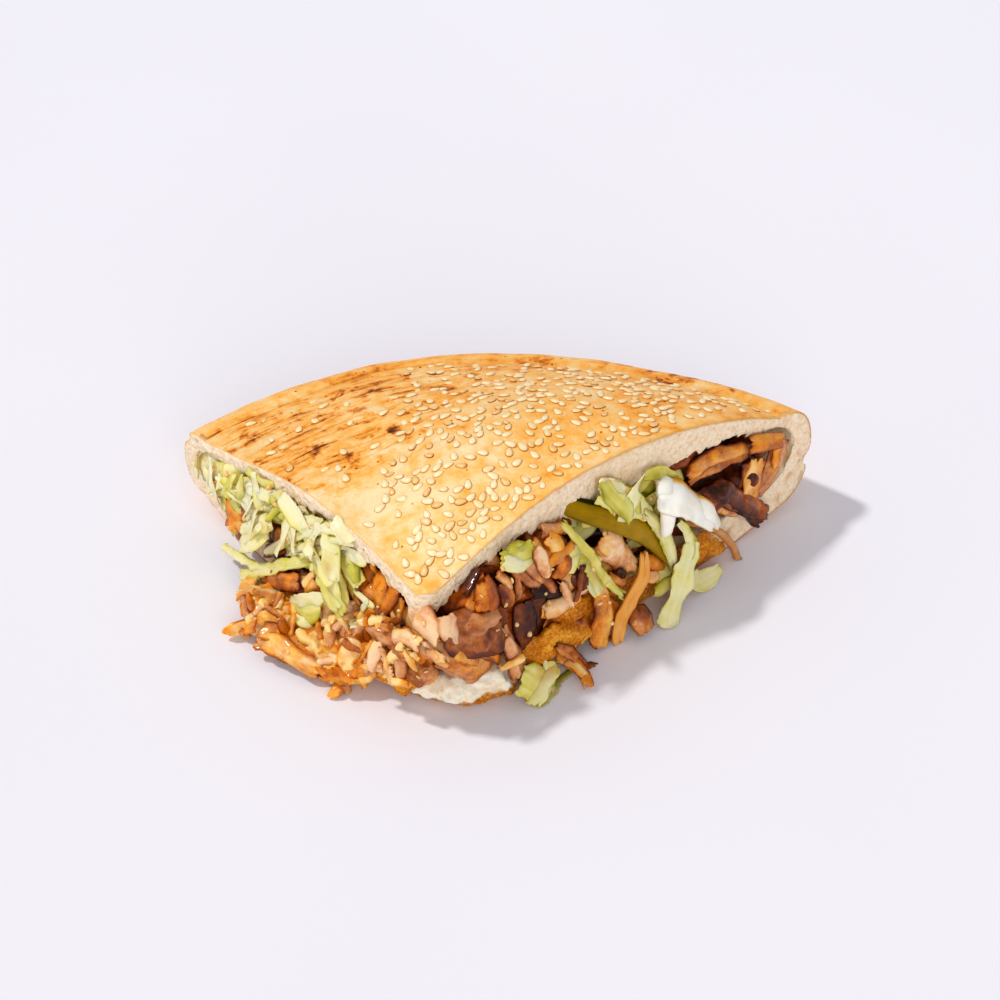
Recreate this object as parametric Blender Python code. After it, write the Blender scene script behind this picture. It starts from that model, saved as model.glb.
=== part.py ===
"""A doner kebab sandwich: a quarter wedge of round sesame flatbread, split as a pocket and filled.

Sizes are in millimetres, turned into metres by MM. +X runs along the wedge from its left corner to
its right one, +Y from the tip to the round crust, +Z up. The flat underside of the bread is z = 0.
The two cut sides meet at the tip, which faces -Y.
"""

import math
import random

import bmesh
import bpy
from mathutils import Vector

MM = 0.001
GAP = 0.4

# Plan corners of the two layers of bread: where the cut sides meet, and where each meets the rim.
BOTTOM_TIP = Vector((-10, -69))
BOTTOM_RIGHT = Vector((115, 39))
BOTTOM_LEFT = Vector((-109, 42))
TOP_TIP = Vector((-19, -72))
TOP_RIGHT = Vector((115, 37))
TOP_LEFT = Vector((-107, 36))
ARC_SWELL_TOP = -0.012
ARC_SWELL_BOTTOM = -0.02
ARC_SKEW = 0.045

# Reach is 0 at the tip of a layer and 1 at the rim.
FIRST_REACH_BOTTOM = 0.07
FIRST_REACH_TOP = 0.03
RIM_REACH = 0.9
HINGE_REACH = 0.85
HINGE_END = 0.94
TIP_ROUNDING_BOTTOM = 6.5
TIP_ROUNDING_TOP = 2.5
BOTTOM_SWELL_RIGHT = 4.0
BOTTOM_SWELL_LEFT = 3.5
CORNER_LIFT = 8.0

# Heights of the top crust: at the tip, at the rim, and how far it domes between them.
TIP_HEIGHT = 47.5
RIM_HEIGHT_RIGHT = 35.0
RIM_HEIGHT_LEFT = 30.5
RIM_SAG = 2.5
DOME_RIGHT = 26.0
DOME_MIDDLE = 26.0
DOME_LEFT = 12.0
RIM_MIDDLE_RIGHT = 21.0
RIM_MIDDLE_LEFT = 17.0
CRUST_WAVE = 1.0

TOP_THICKNESS = 6.0
TOP_CRUMB_SWELL = 13.0
TOP_CRUMB_REACH = 0.47
TOP_CRUMB_SPREAD = 0.2
BOTTOM_THICKNESS_RIGHT = 15.5
BOTTOM_THICKNESS_LEFT = 11.0

LAYER_CELLS = 12
RIM_CELLS = 7
TURN_CELLS = 16
DEPTH_CELLS = 1

SEED_COUNT = 60
SEED_SIZE = (3.6, 2.1, 1.5)
SEED_SPACING = 6.0
SEED_NUMBER = 11

CRUST_COLOUR = (0.80, 0.52, 0.24)
MEAT_COLOUR = (0.62, 0.33, 0.16)
CABBAGE_COLOUR = (0.66, 0.76, 0.42)
PICKLE_COLOUR = (0.30, 0.34, 0.05)
SAUCE_COLOUR = (0.90, 0.87, 0.78)
ONION_COLOUR = (0.50, 0.25, 0.10)
ORANGE_COLOUR = (0.75, 0.38, 0.12)
WET_ROUGHNESS = 0.35
CREASE_DEGREES = 40

# The upright planes of the two cuts, for placing the filling: along the cut, up and out of it.
CUT_TIP = Vector((-12, -70))
CUT_ENDS = {"right": Vector((113, 36)), "left": Vector((-106, 36))}


def mix(low, high, amount):
    return low + (high - low) * amount


def smooth(low, high, value):
    share = min(max((value - low) / (high - low), 0.0), 1.0)
    return share * share * (3 - 2 * share)


def plan_point(tip, right, left, reach, turn, swell):
    """A point of the wedge in plan: reach from the tip outwards, turn from the right cut to the left."""
    angle = turn * math.pi / 2
    skew = ARC_SKEW * math.sin(2 * angle) * -math.cos(2 * angle)
    scale = reach * (1 + swell * math.sin(2 * angle) + skew * reach)
    return tip + (right - tip) * (scale * math.cos(angle)) + (left - tip) * (scale * math.sin(angle))


def rounded_tip(reach, turn, depth):
    """How far the blunt tip stands out towards -Y."""
    return Vector((0, -depth)) * (1 - smooth(0.0, 0.2, reach)) * math.sin(math.pi * turn)


def bottom_plan(reach, turn):
    point = plan_point(BOTTOM_TIP, BOTTOM_RIGHT, BOTTOM_LEFT, reach, turn, ARC_SWELL_BOTTOM)
    bulge = math.sin(math.pi * min(reach, 1.0)) ** 0.7
    point += Vector((0.647, -0.763)) * (BOTTOM_SWELL_RIGHT * bulge * (1 - turn) ** 4)
    point += Vector((-0.748, -0.663)) * (BOTTOM_SWELL_LEFT * bulge * turn ** 4)
    return point + rounded_tip(reach, turn, TIP_ROUNDING_BOTTOM)


def top_plan(reach, turn):
    point = plan_point(TOP_TIP, TOP_RIGHT, TOP_LEFT, reach, turn, ARC_SWELL_TOP)
    return point + rounded_tip(reach, turn, TIP_ROUNDING_TOP)


def crust_height(reach, turn):
    """Height of the top crust above the flat underside."""
    rim = mix(RIM_HEIGHT_RIGHT, RIM_HEIGHT_LEFT, turn) - RIM_SAG * math.sin(math.pi * min(1.4 * turn, 1))
    side = mix(DOME_RIGHT, DOME_LEFT, smooth(0.35, 1.0, turn))
    dome = side + (DOME_MIDDLE - DOME_RIGHT) * math.sin(math.pi * turn)
    shape = math.sin(math.pi * reach ** mix(0.95, 0.8, turn))
    wave = math.sin(reach * 9 + turn * 4) * math.sin(turn * 7 + 1) * CRUST_WAVE
    return mix(TIP_HEIGHT, rim, reach) + dome * shape + wave * math.sin(math.pi * reach)


def top_thickness(reach, turn):
    spread = (reach - TOP_CRUMB_REACH) / TOP_CRUMB_SPREAD
    swell = TOP_CRUMB_SWELL * math.exp(-spread * spread) * (1 - smooth(0.0, 0.8, turn))
    return TOP_THICKNESS + swell


def bottom_lift(reach, turn):
    """How far the underside curls up where it nears the two corners."""
    corner = turn ** 5 + 0.5 * (1 - turn) ** 8
    return CORNER_LIFT * corner * smooth(0.72, 1.0, reach)


def bottom_thickness(reach, turn):
    return mix(BOTTOM_THICKNESS_RIGHT, BOTTOM_THICKNESS_LEFT, turn) * mix(0.82, 1.0, smooth(0.0, 0.25, reach))


def solid_point(plan, height):
    return Vector((plan.x, plan.y, height))


def outer_point(layer, amount, turn):
    """The skin of the bread. Layer is bottom, rim or top; amount runs 0 to 1 along it."""
    if layer == "bottom":
        reach = mix(FIRST_REACH_BOTTOM, RIM_REACH, amount)
        return solid_point(bottom_plan(reach, turn), bottom_lift(reach, turn))
    if layer == "top":
        reach = mix(RIM_REACH, FIRST_REACH_TOP, amount)
        return solid_point(top_plan(reach, turn), crust_height(reach, turn))
    angle = mix(-math.pi / 2, math.pi / 2, amount)
    reach = RIM_REACH + (1 - RIM_REACH) * max(math.cos(angle), 0.0) ** 0.7
    middle = mix(RIM_MIDDLE_RIGHT, RIM_MIDDLE_LEFT, turn)
    upper = crust_height(RIM_REACH, turn) - middle
    lower = middle - bottom_lift(RIM_REACH, turn)
    height = middle + (upper if angle > 0 else lower) * math.sin(angle)
    plan = bottom_plan(reach, turn).lerp(top_plan(reach, turn), amount)
    return solid_point(plan, height)


def inner_point(layer, amount, turn):
    """The crumb side of the bread, from tip to tip round the hinge of the pocket."""
    if layer == "bottom":
        reach = mix(FIRST_REACH_BOTTOM, HINGE_REACH, amount)
        return solid_point(bottom_plan(reach, turn), bottom_thickness(reach, turn))
    if layer == "top":
        reach = mix(HINGE_REACH, FIRST_REACH_TOP, amount)
        height = crust_height(reach, turn) - top_thickness(reach, turn)
        return solid_point(top_plan(reach, turn), height)
    low = bottom_thickness(HINGE_REACH, turn)
    high = crust_height(HINGE_REACH, turn) - top_thickness(HINGE_REACH, turn)
    angle = mix(-math.pi / 2, math.pi / 2, amount)
    reach = mix(HINGE_REACH, HINGE_END, max(math.cos(angle), 0.0))
    height = (low + high) / 2 + (high - low) / 2 * math.sin(angle)
    plan = bottom_plan(reach, turn).lerp(top_plan(reach, turn), amount)
    return solid_point(plan, height)


def layer_steps():
    """The stations along the C of the bread, tip to tip, without repeats."""
    steps = [("bottom", i / LAYER_CELLS) for i in range(LAYER_CELLS)]
    steps += [("rim", i / RIM_CELLS) for i in range(RIM_CELLS)]
    return steps + [("top", i / LAYER_CELLS) for i in range(LAYER_CELLS + 1)]


def grid_shell(count_a, count_b, count_c, place):
    """The closed surface of a box grid whose corners place(a, b, c) gives, each 0 to its count."""
    index = {}
    points = []
    faces = []

    def corner(a, b, c):
        key = (a, b, c)
        if key not in index:
            index[key] = len(points)
            points.append(place(a, b, c))
        return index[key]

    def quad(first, second, third, fourth):
        faces.append((corner(*first), corner(*second), corner(*third)))
        faces.append((corner(*first), corner(*third), corner(*fourth)))

    for a in range(count_a):
        for b in range(count_b):
            quad((a, b, 0), (a + 1, b, 0), (a + 1, b + 1, 0), (a, b + 1, 0))
            quad((a, b, count_c), (a, b + 1, count_c), (a + 1, b + 1, count_c), (a + 1, b, count_c))
    for a in range(count_a):
        for c in range(count_c):
            quad((a, 0, c), (a, 0, c + 1), (a + 1, 0, c + 1), (a + 1, 0, c))
            quad((a, count_b, c), (a + 1, count_b, c), (a + 1, count_b, c + 1), (a, count_b, c + 1))
    for b in range(count_b):
        for c in range(count_c):
            quad((0, b, c), (0, b + 1, c), (0, b + 1, c + 1), (0, b, c + 1))
            quad((count_a, b, c), (count_a, b, c + 1), (count_a, b + 1, c + 1), (count_a, b + 1, c))
    return points, faces


def mesh_object(name, points, faces):
    """A mesh object in metres, with its faces turned outwards."""
    mesh = bpy.data.meshes.new(name)
    mesh.from_pydata([point * MM for point in points], [], faces)
    shell = bmesh.new()
    shell.from_mesh(mesh)
    bmesh.ops.recalc_face_normals(shell, faces=shell.faces)
    shell.to_mesh(mesh)
    shell.free()
    obj = bpy.data.objects.new(name, mesh)
    bpy.context.scene.collection.objects.link(obj)
    return obj


def bread_shell(name, extra=0.0):
    """The bread without its seeds, or a copy that stands out by extra all round to cut room for it."""
    steps = layer_steps()
    sides = [i / TURN_CELLS for i in range(TURN_CELLS + 1)]

    def place(a, b, c):
        layer, amount = steps[a]
        skin = outer_point(layer, amount, sides[b])
        crumb = inner_point(layer, amount, sides[b])
        across = (crumb - skin).normalized() * extra
        point = (skin - across).lerp(crumb + across, c / DEPTH_CELLS)
        if extra and b in (0, TURN_CELLS):
            out = Vector((0.647, -0.763, 0)) if b == 0 else Vector((-0.748, -0.663, 0))
            point += out * extra
        if extra and a in (0, len(steps) - 1):
            point += Vector((0, -extra, 0))
        return point

    points, faces = grid_shell(len(steps) - 1, TURN_CELLS, DEPTH_CELLS, place)
    return mesh_object(name, points, faces)


def crust_frame(reach, turn):
    """A point of the top crust and the outward normal there."""
    step = 0.01

    def crust(here, there):
        return solid_point(top_plan(here, there), crust_height(here, there))

    along = crust(reach + step, turn) - crust(reach - step, turn)
    across = crust(reach, turn + step) - crust(reach, turn - step)
    normal = along.cross(across).normalized()
    if normal.z < 0:
        normal.negate()
    return crust(reach, turn), normal


def seed_places():
    """Where the sesame seeds lie: thick on the middle and the right, thin on the left."""
    pick = random.Random(SEED_NUMBER)
    places = []
    while len(places) < SEED_COUNT:
        reach = math.sqrt(pick.uniform(0.01, 0.76))
        turn = pick.uniform(0.03, 0.97)
        point, normal = crust_frame(reach, turn)
        share = mix(0.08, 1.0, smooth(-45, 0, point.x))
        if pick.random() > share:
            continue
        if any((point - other).length < SEED_SPACING for other, _, _ in places):
            continue
        places.append((point, normal, pick.uniform(0, math.pi)))
    return places


def round_body(name, middle, axes, sides, rings, bumps=0.0, number=0):
    """A closed ball of few sides, stretched along three axes given as vectors of half length."""
    pick = random.Random(number)
    points = [middle - axes[2]]
    for ring in range(1, rings):
        level = math.pi * ring / rings
        for side in range(sides):
            angle = 2 * math.pi * side / sides + ring * 0.5
            rough = 1 + pick.uniform(-bumps, bumps)
            flat = math.sin(level) * rough
            points.append(
                middle
                + axes[0] * (math.cos(angle) * flat)
                + axes[1] * (math.sin(angle) * flat)
                - axes[2] * (math.cos(level) * rough)
            )
    points.append(middle + axes[2])
    last = len(points) - 1
    faces = []
    for side in range(sides):
        after = (side + 1) % sides
        faces.append((0, 1 + after, 1 + side))
        for ring in range(rings - 2):
            low = 1 + ring * sides
            high = low + sides
            faces.append((low + side, low + after, high + side))
            faces.append((low + after, high + after, high + side))
        top = 1 + (rings - 2) * sides
        faces.append((top + side, top + after, last))
    return mesh_object(name, points, faces)


def seed(number, place):
    """One sesame seed lying flat on the crust, sunk in by a third."""
    point, normal, angle = place
    ahead = Vector((math.cos(angle), math.sin(angle), 0))
    ahead = (ahead - normal * ahead.dot(normal)).normalized()
    aside = normal.cross(ahead)
    length, width, height = (size / 2 for size in SEED_SIZE)
    axes = (ahead * length, aside * width, normal * height)
    return round_body(f"seed_{number}", point + normal * (height * 0.3), axes, 6, 3)


def cut_point(side, place):
    """A point of the filling from its place by a cut: along it, up, and out of it."""
    along, up, out = place
    end = CUT_ENDS[side]
    ahead = (end - CUT_TIP).normalized()
    outward = Vector((ahead.y, -ahead.x)) if side == "right" else Vector((-ahead.y, ahead.x))
    if outward.y > 0:
        outward.negate()
    plan = CUT_TIP + ahead * along + outward * out
    return above_floor(Vector((plan.x, plan.y, up)))


def outward_of(side):
    return (cut_point(side, (0, 50, 1)) - cut_point(side, (0, 50, 0))).normalized()


def above_floor(point):
    """Anything near or below the flat underside is eased up to just above it."""
    if point.z < 1.5:
        point.z = 0.4 + 1.1 * math.exp((point.z - 1.5) / 1.1)
    return point


def curve_point(points, amount):
    """A smooth curve through the points, amount 0 to 1."""
    spans = len(points) - 1
    place = min(amount * spans, spans - 1e-6)
    span = int(place)
    share = place - span
    before = points[max(span - 1, 0)]
    start, end = points[span], points[span + 1]
    after = points[min(span + 2, spans)]
    return 0.5 * (
        2 * start
        + (end - before) * share
        + (2 * before - 5 * start + 4 * end - after) * share ** 2
        + (3 * start - before - 3 * end + after) * share ** 3
    )


def ribbon(name, points, width, thick, facing, cup=0.0, cells=4, grow=0.0):
    """A shred, leaf or slice: a thin bent solid along the points, its flat side turned to facing."""
    wide_cells = 2 if cup else 1

    def place(a, b, c):
        amount = a / cells
        here = curve_point(points, amount)
        ahead = curve_point(points, min(amount + 0.05, 1)) - curve_point(points, max(amount - 0.05, 0))
        ahead.normalize()
        if grow:
            here = here + ahead * (grow * (2 * amount - 1) * 1.5)
        aside = facing.cross(ahead).normalized()
        normal = ahead.cross(aside).normalized()
        taper = 0.55 + 0.45 * math.sin(math.pi * mix(0.12, 0.88, amount))
        across = (2 * b / wide_cells - 1) * (width * taper / 2 + grow)
        lift = cup * (1 - (2 * b / wide_cells - 1) ** 2) + 0.25 * cup * math.sin(amount * 9)
        level = (2 * c - 1) * (thick / 2 + grow)
        return above_floor(here + aside * across + normal * (lift + level))

    shell_points, faces = grid_shell(cells, wide_cells, 1, place)
    return mesh_object(name, shell_points, faces)


def chunk(name, middle, size, yaw, number, grow=0.0):
    """A lump of meat: an uneven ball of few sides."""
    ahead = Vector((math.cos(yaw), math.sin(yaw), 0))
    aside = Vector((-ahead.y, ahead.x, 0))
    length, width, height = (value / 2 + grow for value in size)
    axes = (ahead * length, aside * width, Vector((0, 0, height)))
    return round_body(name, middle, axes, 5, 4, 0.12, number)


def applied(obj, others, operation, solver):
    """One Boolean with a collection, applied, with the collection's objects then removed."""
    group = bpy.data.collections.new("boolean_group")
    bpy.context.scene.collection.children.link(group)
    for other in others:
        group.objects.link(other)
        bpy.context.scene.collection.objects.unlink(other)
    modifier = obj.modifiers.new("boolean", "BOOLEAN")
    modifier.operation = operation
    modifier.operand_type = "COLLECTION"
    modifier.collection = group
    modifier.solver = solver
    graph = bpy.context.evaluated_depsgraph_get()
    mesh = bpy.data.meshes.new_from_object(obj.evaluated_get(graph))
    obj.modifiers.clear()
    obj.data = mesh
    for other in list(group.objects):
        bpy.data.objects.remove(other, do_unlink=True)
    bpy.data.collections.remove(group)


def keep_largest(obj):
    """Drops the loose scraps that trimming leaves."""
    shell = bmesh.new()
    shell.from_mesh(obj.data)
    bmesh.ops.triangulate(shell, faces=shell.faces)
    bmesh.ops.dissolve_degenerate(shell, dist=1e-6, edges=shell.edges)
    left = set(shell.verts)
    bodies = []
    while left:
        start = left.pop()
        body = {start}
        edge = [start]
        while edge:
            vertex = edge.pop()
            for link in vertex.link_edges:
                other = link.other_vert(vertex)
                if other in left:
                    left.discard(other)
                    body.add(other)
                    edge.append(other)
        bodies.append(body)
    bodies.sort(key=len)
    for body in bodies[:-1]:
        bmesh.ops.delete(shell, geom=list(body), context="VERTS")
    shell.to_mesh(obj.data)
    shell.free()


def finish(obj, tint, roughness):
    """Gives a node its material and shades it smooth but for its creases."""
    material = bpy.data.materials.new(obj.name)
    material.use_nodes = True
    shader = material.node_tree.nodes["Principled BSDF"]
    shader.inputs["Base Color"].default_value = (*tint, 1)
    shader.inputs["Roughness"].default_value = roughness
    material.diffuse_color = (*tint, 1)
    obj.data.materials.clear()
    obj.data.materials.append(material)
    obj.data.shade_smooth()
    obj.data.set_sharp_from_angle(angle=math.radians(CREASE_DEGREES))


# Shreds and leaves, as node, cut side, bends as (along, up, out), width, thickness and cup.
PICKLE = (("right", ((49, 56, 3), (66, 47, 5), (82, 31, 5), (95, 12, 6)), 9.5, 3.0, 0.8),)
ONION_STRAND = (("right", ((97, 30, 6), (112, 17, 9), (123, 0, 9), (124, -9, 10)), 3.4, 2.4, 0.0),)
ORANGE_STRIP = (("right", ((76, 27, 8), (71, 19, 9), (66, 8, 10), (64, 0, 13)), 4.6, 2.2, 0.0),)
LONG_SHRED = (("right", ((42, 60, 6), (50, 46, 9), (58, 30, 10), (67, 16, 10)), 3.6, 1.4, 0.0),)
HANGING_SHRED = (("right", ((95, 17, 12), (88, 7, 15), (79, 0, 19)), 9.0, 1.2, 0.5),)
SAUCE = (
    ("right", ((84, 44, 3), (93, 42, 5), (103, 35, 6), (109, 24, 7)), 15.0, 5.0, 1.5),
)
CABBAGE_RIGHT = (
    ("right", ((61, 59, 2), (71, 50, 3), (82, 37, 1), (90, 22, 0)), 11.0, 1.5, 1.0),
    ("right", ((98, 27, 7), (101, 17, 9), (95, 9, 10), (90, 18, 7)), 4.5, 1.3, 0.0),
    ("right", ((68, 57, -2), (84, 50, -2), (96, 47, -1)), 9.0, 1.6, 1.0),
    ("right", ((78, 20, 3), (88, 12, 6), (93, 8, 9)), 7.0, 1.3, 0.6),
)
CABBAGE_MIDDLE = (
    ("right", ((47, 46, 5), (53, 35, 6), (59, 20, 8)), 6.5, 1.4, 0.8),
    ("right", ((46, 40, 5), (53, 38, 6), (61, 35, 5)), 6.0, 1.3, 0.8),
)
CABBAGE_TIP = (
    ("right", ((19, 55, 3), (26, 53, 4), (33, 53, 3)), 7.0, 1.4, 0.8),
)
CABBAGE_LOW = (
    ("right", ((20, 10, 12), (26, 3, 15), (30, -8, 18)), 12.0, 1.4, 1.0),
    ("right", ((34, 8, 11), (30, 2, 14), (27, -2, 16)), 6.0, 1.3, 0.6),
    ("right", ((44, -2, 13), (36, -3, 14), (28, 0, 15)), 4.0, 1.4, 0.0),
)
CABBAGE_LEFT = (
    ("left", ((112, 25, 3), (99, 33, 4), (88, 38, 4)), 6.0, 1.3, 0.5),
    ("left", ((77, 45, 5), (90, 32, 6), (101, 18, 6)), 4.0, 1.3, 0.0),
    ("left", ((84, 34, 2), (74, 40, 3), (63, 42, 3)), 9.0, 1.4, 1.0),
    ("left", ((77, 25, 5), (63, 36, 6), (47, 41, 5)), 12.0, 1.4, 1.2),
    ("left", ((56, 45, 3), (49, 45, 4), (43, 43, 5)), 6.0, 1.3, 0.8),
    ("left", ((52, 40, 10), (45, 33, 13), (35, 25, 14)), 8.5, 1.3, 0.8),
    ("left", ((47, 42, 6), (39, 39, 8), (33, 36, 8)), 6.0, 1.3, 0.5),
    ("left", ((98, 16, 5), (93, 24, 6), (84, 26, 7)), 5.0, 1.3, 0.5),
)
CABBAGE_CORNER = (
    ("left", ((119, 29, 2), (114, 24, 3), (107, 18, 5)), 8.0, 1.4, 0.8),
    ("left", ((117, 22, 3), (110, 17, 6), (103, 12, 8)), 5.0, 1.4, 0.0),
)
DROOPING_SHRED = (("left", ((57, 31, 9), (70, 22, 12), (82, 12, 14), (93, 4, 15)), 4.6, 1.3, 0.0),)
LEAF_SPILL = (("left", ((66, 14, 10), (57, 16, 12), (48, 14, 14)), 9.0, 1.4, 1.0),)
MEAT_SLICES = (
    ("right", ((103, 42, 1), (119, 41, 1), (133, 38, 0)), 6.5, 3.0, 0.0),
    ("right", ((147, 37, 2), (143, 27, 3), (136, 18, 3)), 8.0, 3.0, 1.0),
    ("right", ((114, 30, 3), (127, 21, 5), (139, 10, 6)), 7.0, 3.0, 1.0),
    ("right", ((110, 30, -2), (124, 30, -3), (138, 24, -3)), 10.0, 4.0, 1.0),
    ("right", ((60, 42, 4), (67, 33, 5), (75, 22, 6)), 8.0, 2.6, 1.0),
    ("right", ((34, 54, 2), (37, 45, 4), (39, 37, 4)), 5.0, 2.6, 0.0),
    ("right", ((24, 50, 2), (30, 43, 4), (36, 36, 4)), 6.0, 2.6, 0.0),
    ("right", ((40, 34, 0), (34, 26, 2), (32, 12, 4)), 9.0, 4.0, 1.0),
    ("right", ((36, 24, 3), (43, 22, 4), (52, 22, 4)), 8.0, 2.4, 1.0),
    ("right", ((17, 30, 6), (21, 17, 8), (25, 5, 10)), 5.0, 2.6, 0.0),
    ("right", ((58, 22, 7), (58, 12, 9), (54, 2, 11)), 9.0, 2.4, 1.0),
    ("right", ((36, 13, 11), (43, 5, 13), (49, -8, 16)), 5.0, 3.0, 0.0),
    ("right", ((-6, 41, 5), (4, 34, 7), (16, 29, 6)), 17.0, 3.0, 2.0),
    ("left", ((18, 32, 2), (8, 34, 4), (-2, 37, 3)), 9.0, 3.0, 1.0),
    ("left", ((19, 23, 7), (9, 29, 8), (1, 25, 8)), 7.0, 2.6, 1.0),
    ("left", ((110, 20, 0), (106, 14, 4), (101, 9, 6)), 9.0, 3.0, 1.0),
    ("left", ((38, 37, 3), (30, 33, 5), (24, 26, 6)), 11.0, 4.0, 1.0),
    ("left", ((84, 9, 11), (70, 14, 11), (56, 20, 9)), 7.0, 3.0, 1.0),
    ("left", ((60, 6, 28), (48, 7, 27), (36, 6, 24)), 8.0, 6.0, 1.0),
    ("left", ((33, 9, 12), (31, 6, 17), (28, 3, 22)), 5.0, 2.6, 0.0),
)
# Lumps of meat, as cut side, place and size: the front of the filling, then the spill on the left.
MEAT_LUMPS = (
    ("right", (10, 42, 0), (17, 12, 14)),
    ("right", (24, 36, -1), (12, 9, 10)),
    ("right", (2, 24, 2), (20, 14, 16)),
    ("right", (42, 46, 0), (15, 9, 13)),
    ("right", (52, 27, 0), (16, 12, 15)),
    ("right", (68, 24, 2), (16, 10, 12)),
    ("right", (47, 12, 7), (16, 10, 10)),
    ("right", (112, 26, 0), (22, 10, 16)),
    ("right", (130, 28, -3), (20, 12, 16)),
    ("left", (52, 26, 2), (20, 14, 18)),
    ("left", (30, 26, 3), (18, 14, 16)),
    ("left", (12, 24, 5), (18, 14, 14)),
    ("left", (8, 14, 9), (14, 10, 12)),
    ("left", (21, 14, 9), (13, 10, 11)),
    ("left", (33, 14, 9), (13, 11, 12)),
    ("left", (47, 11, 10), (13, 10, 10)),
    ("left", (29, 8, 17), (14, 11, 11)),
    ("left", (58, 9, 14), (15, 12, 12)),
    ("left", (70, 8, 13), (16, 12, 11)),
    ("left", (75, 7, 21), (14, 10, 10)),
    ("left", (42, 7, 18), (19, 12, 11)),
    ("left", (64, 6, 22), (13, 10, 9)),
    ("left", (82, 5, 17), (10, 8, 8)),
    ("left", (17, 7, 17), (10, 7, 9)),
)
# The packed middles that hold each bundle and the spill together, as cut side, place and size.
CABBAGE_RIGHT_CORES = (("right", (76, 44, -2), (40, 9, 13)),)
CABBAGE_LEFT_CORES = (
    ("left", (92, 27, 2), (34, 9, 13)),
    ("left", (64, 36, 2), (54, 9, 13)),
)
CABBAGE_CORNER_CORES = (("left", (112, 22, 1), (16, 7, 10)),)
MEAT_CORES = (
    ("left", (52, 6, 16), (62, 24, 9)),
    ("left", (24, 9, 10), (34, 18, 14)),
    ("left", (30, 21, 2), (64, 14, 20)),
    ("left", (66, 14, 5), (50, 12, 16)),
    ("right", (32, 22, 0), (60, 12, 22)),
)
CORE_CELLS = (7, 6, 2)
CORE_REACH = (0.1, 0.86)
CORE_SETBACK = 0.02


def meat_core(name):
    """The middle of the filling: it fills the pocket between the layers, a little short of the cuts."""
    reaches, turns, levels = CORE_CELLS

    def place(a, b, c):
        reach = mix(CORE_REACH[0], CORE_REACH[1], a / reaches)
        turn = mix(CORE_SETBACK, 1 - CORE_SETBACK, b / turns)
        low = solid_point(bottom_plan(reach, turn), bottom_thickness(reach, turn) + GAP)
        high = solid_point(top_plan(reach, turn), crust_height(reach, turn) - top_thickness(reach, turn) - GAP)
        point = low.lerp(high, c / levels)
        if a == reaches and 0 < c < levels:
            middle = bottom_plan(reach + 0.05, turn)
            point.x, point.y = middle.x, middle.y
        return point

    points, faces = grid_shell(reaches, turns, levels, place)
    return mesh_object(name, points, faces)


def ribbons(name, rows, grow=0.0):
    """The ribbons of one table, each turned to face out of its cut and a little up."""
    made = []
    for number, (side, places, width, thick, cup) in enumerate(rows):
        facing = (outward_of(side) + Vector((0, 0, 0.55))).normalized()
        bends = [cut_point(side, place) for place in places]
        made.append(ribbon(f"{name}_{number}", bends, width, thick, facing, cup, grow=grow))
    return made


def lumps(name, rows, swing=0.5, grow=0.0):
    """The lumps of one table, each lying along its cut but for a swing either way."""
    made = []
    for number, (side, place, size) in enumerate(rows):
        middle = cut_point(side, place)
        middle.z = max(middle.z, size[2] * 0.46 + 0.8)
        turn = 0.7 if side == "right" else -0.84
        turn += math.sin(number * 5) * swing
        made.append(chunk(f"{name}_{number}", middle, size, turn, number, grow))
    return made


def fused(name, pieces):
    first = pieces[0]
    first.name = name
    first.data.name = name
    if len(pieces) > 1:
        applied(first, pieces[1:], "UNION", "EXACT")
    return first


def build():
    for obj in list(bpy.data.objects):
        bpy.data.objects.remove(obj, do_unlink=True)
    bread = fused("bread", [bread_shell("bread")] + [seed(n, p) for n, p in enumerate(seed_places())])
    keep_largest(bread)
    finish(bread, CRUST_COLOUR, 0.6)

    cutters = []

    def trimmed(name, tint, table, cores=()):
        node = fused(name, lumps(f"{name}_core", cores, 0.0) + ribbons(f"{name}_piece", table))
        trim(node)
        finish(node, tint, WET_ROUGHNESS)
        cutters.append((table, cores))

    def trim(node):
        tools = [bread_shell("room", GAP)]
        for number, (table, cores) in enumerate(cutters):
            tools += ribbons(f"room_{number}", table, GAP)
            tools += lumps(f"core_room_{number}", cores, 0.0, GAP)
        applied(node, tools, "DIFFERENCE", "MANIFOLD")
        keep_largest(node)

    trimmed("pickle", PICKLE_COLOUR, PICKLE)
    trimmed("onion_strand", ONION_COLOUR, ONION_STRAND)
    trimmed("orange_strip", ORANGE_COLOUR, ORANGE_STRIP)
    trimmed("long_shred", CABBAGE_COLOUR, LONG_SHRED)
    trimmed("hanging_shred", CABBAGE_COLOUR, HANGING_SHRED)
    trimmed("sauce", SAUCE_COLOUR, SAUCE)
    trimmed("leaf_spill", CABBAGE_COLOUR, LEAF_SPILL)
    trimmed("drooping_shred", CABBAGE_COLOUR, DROOPING_SHRED)
    trimmed("cabbage_corner", CABBAGE_COLOUR, CABBAGE_CORNER, CABBAGE_CORNER_CORES)
    trimmed("cabbage_right", CABBAGE_COLOUR, CABBAGE_RIGHT, CABBAGE_RIGHT_CORES)
    trimmed("cabbage_middle", CABBAGE_COLOUR, CABBAGE_MIDDLE)
    trimmed("cabbage_tip", CABBAGE_COLOUR, CABBAGE_TIP)
    trimmed("cabbage_low", CABBAGE_COLOUR, CABBAGE_LOW)
    trimmed("cabbage_left", CABBAGE_COLOUR, CABBAGE_LEFT, CABBAGE_LEFT_CORES)
    meat = [meat_core("meat_core")] + lumps("meat_middle", MEAT_CORES, 0.0)
    meat += ribbons("slice", MEAT_SLICES) + lumps("lump", MEAT_LUMPS)
    meat = fused("meat", meat)
    trim(meat)
    finish(meat, MEAT_COLOUR, WET_ROUGHNESS)


build()
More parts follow.
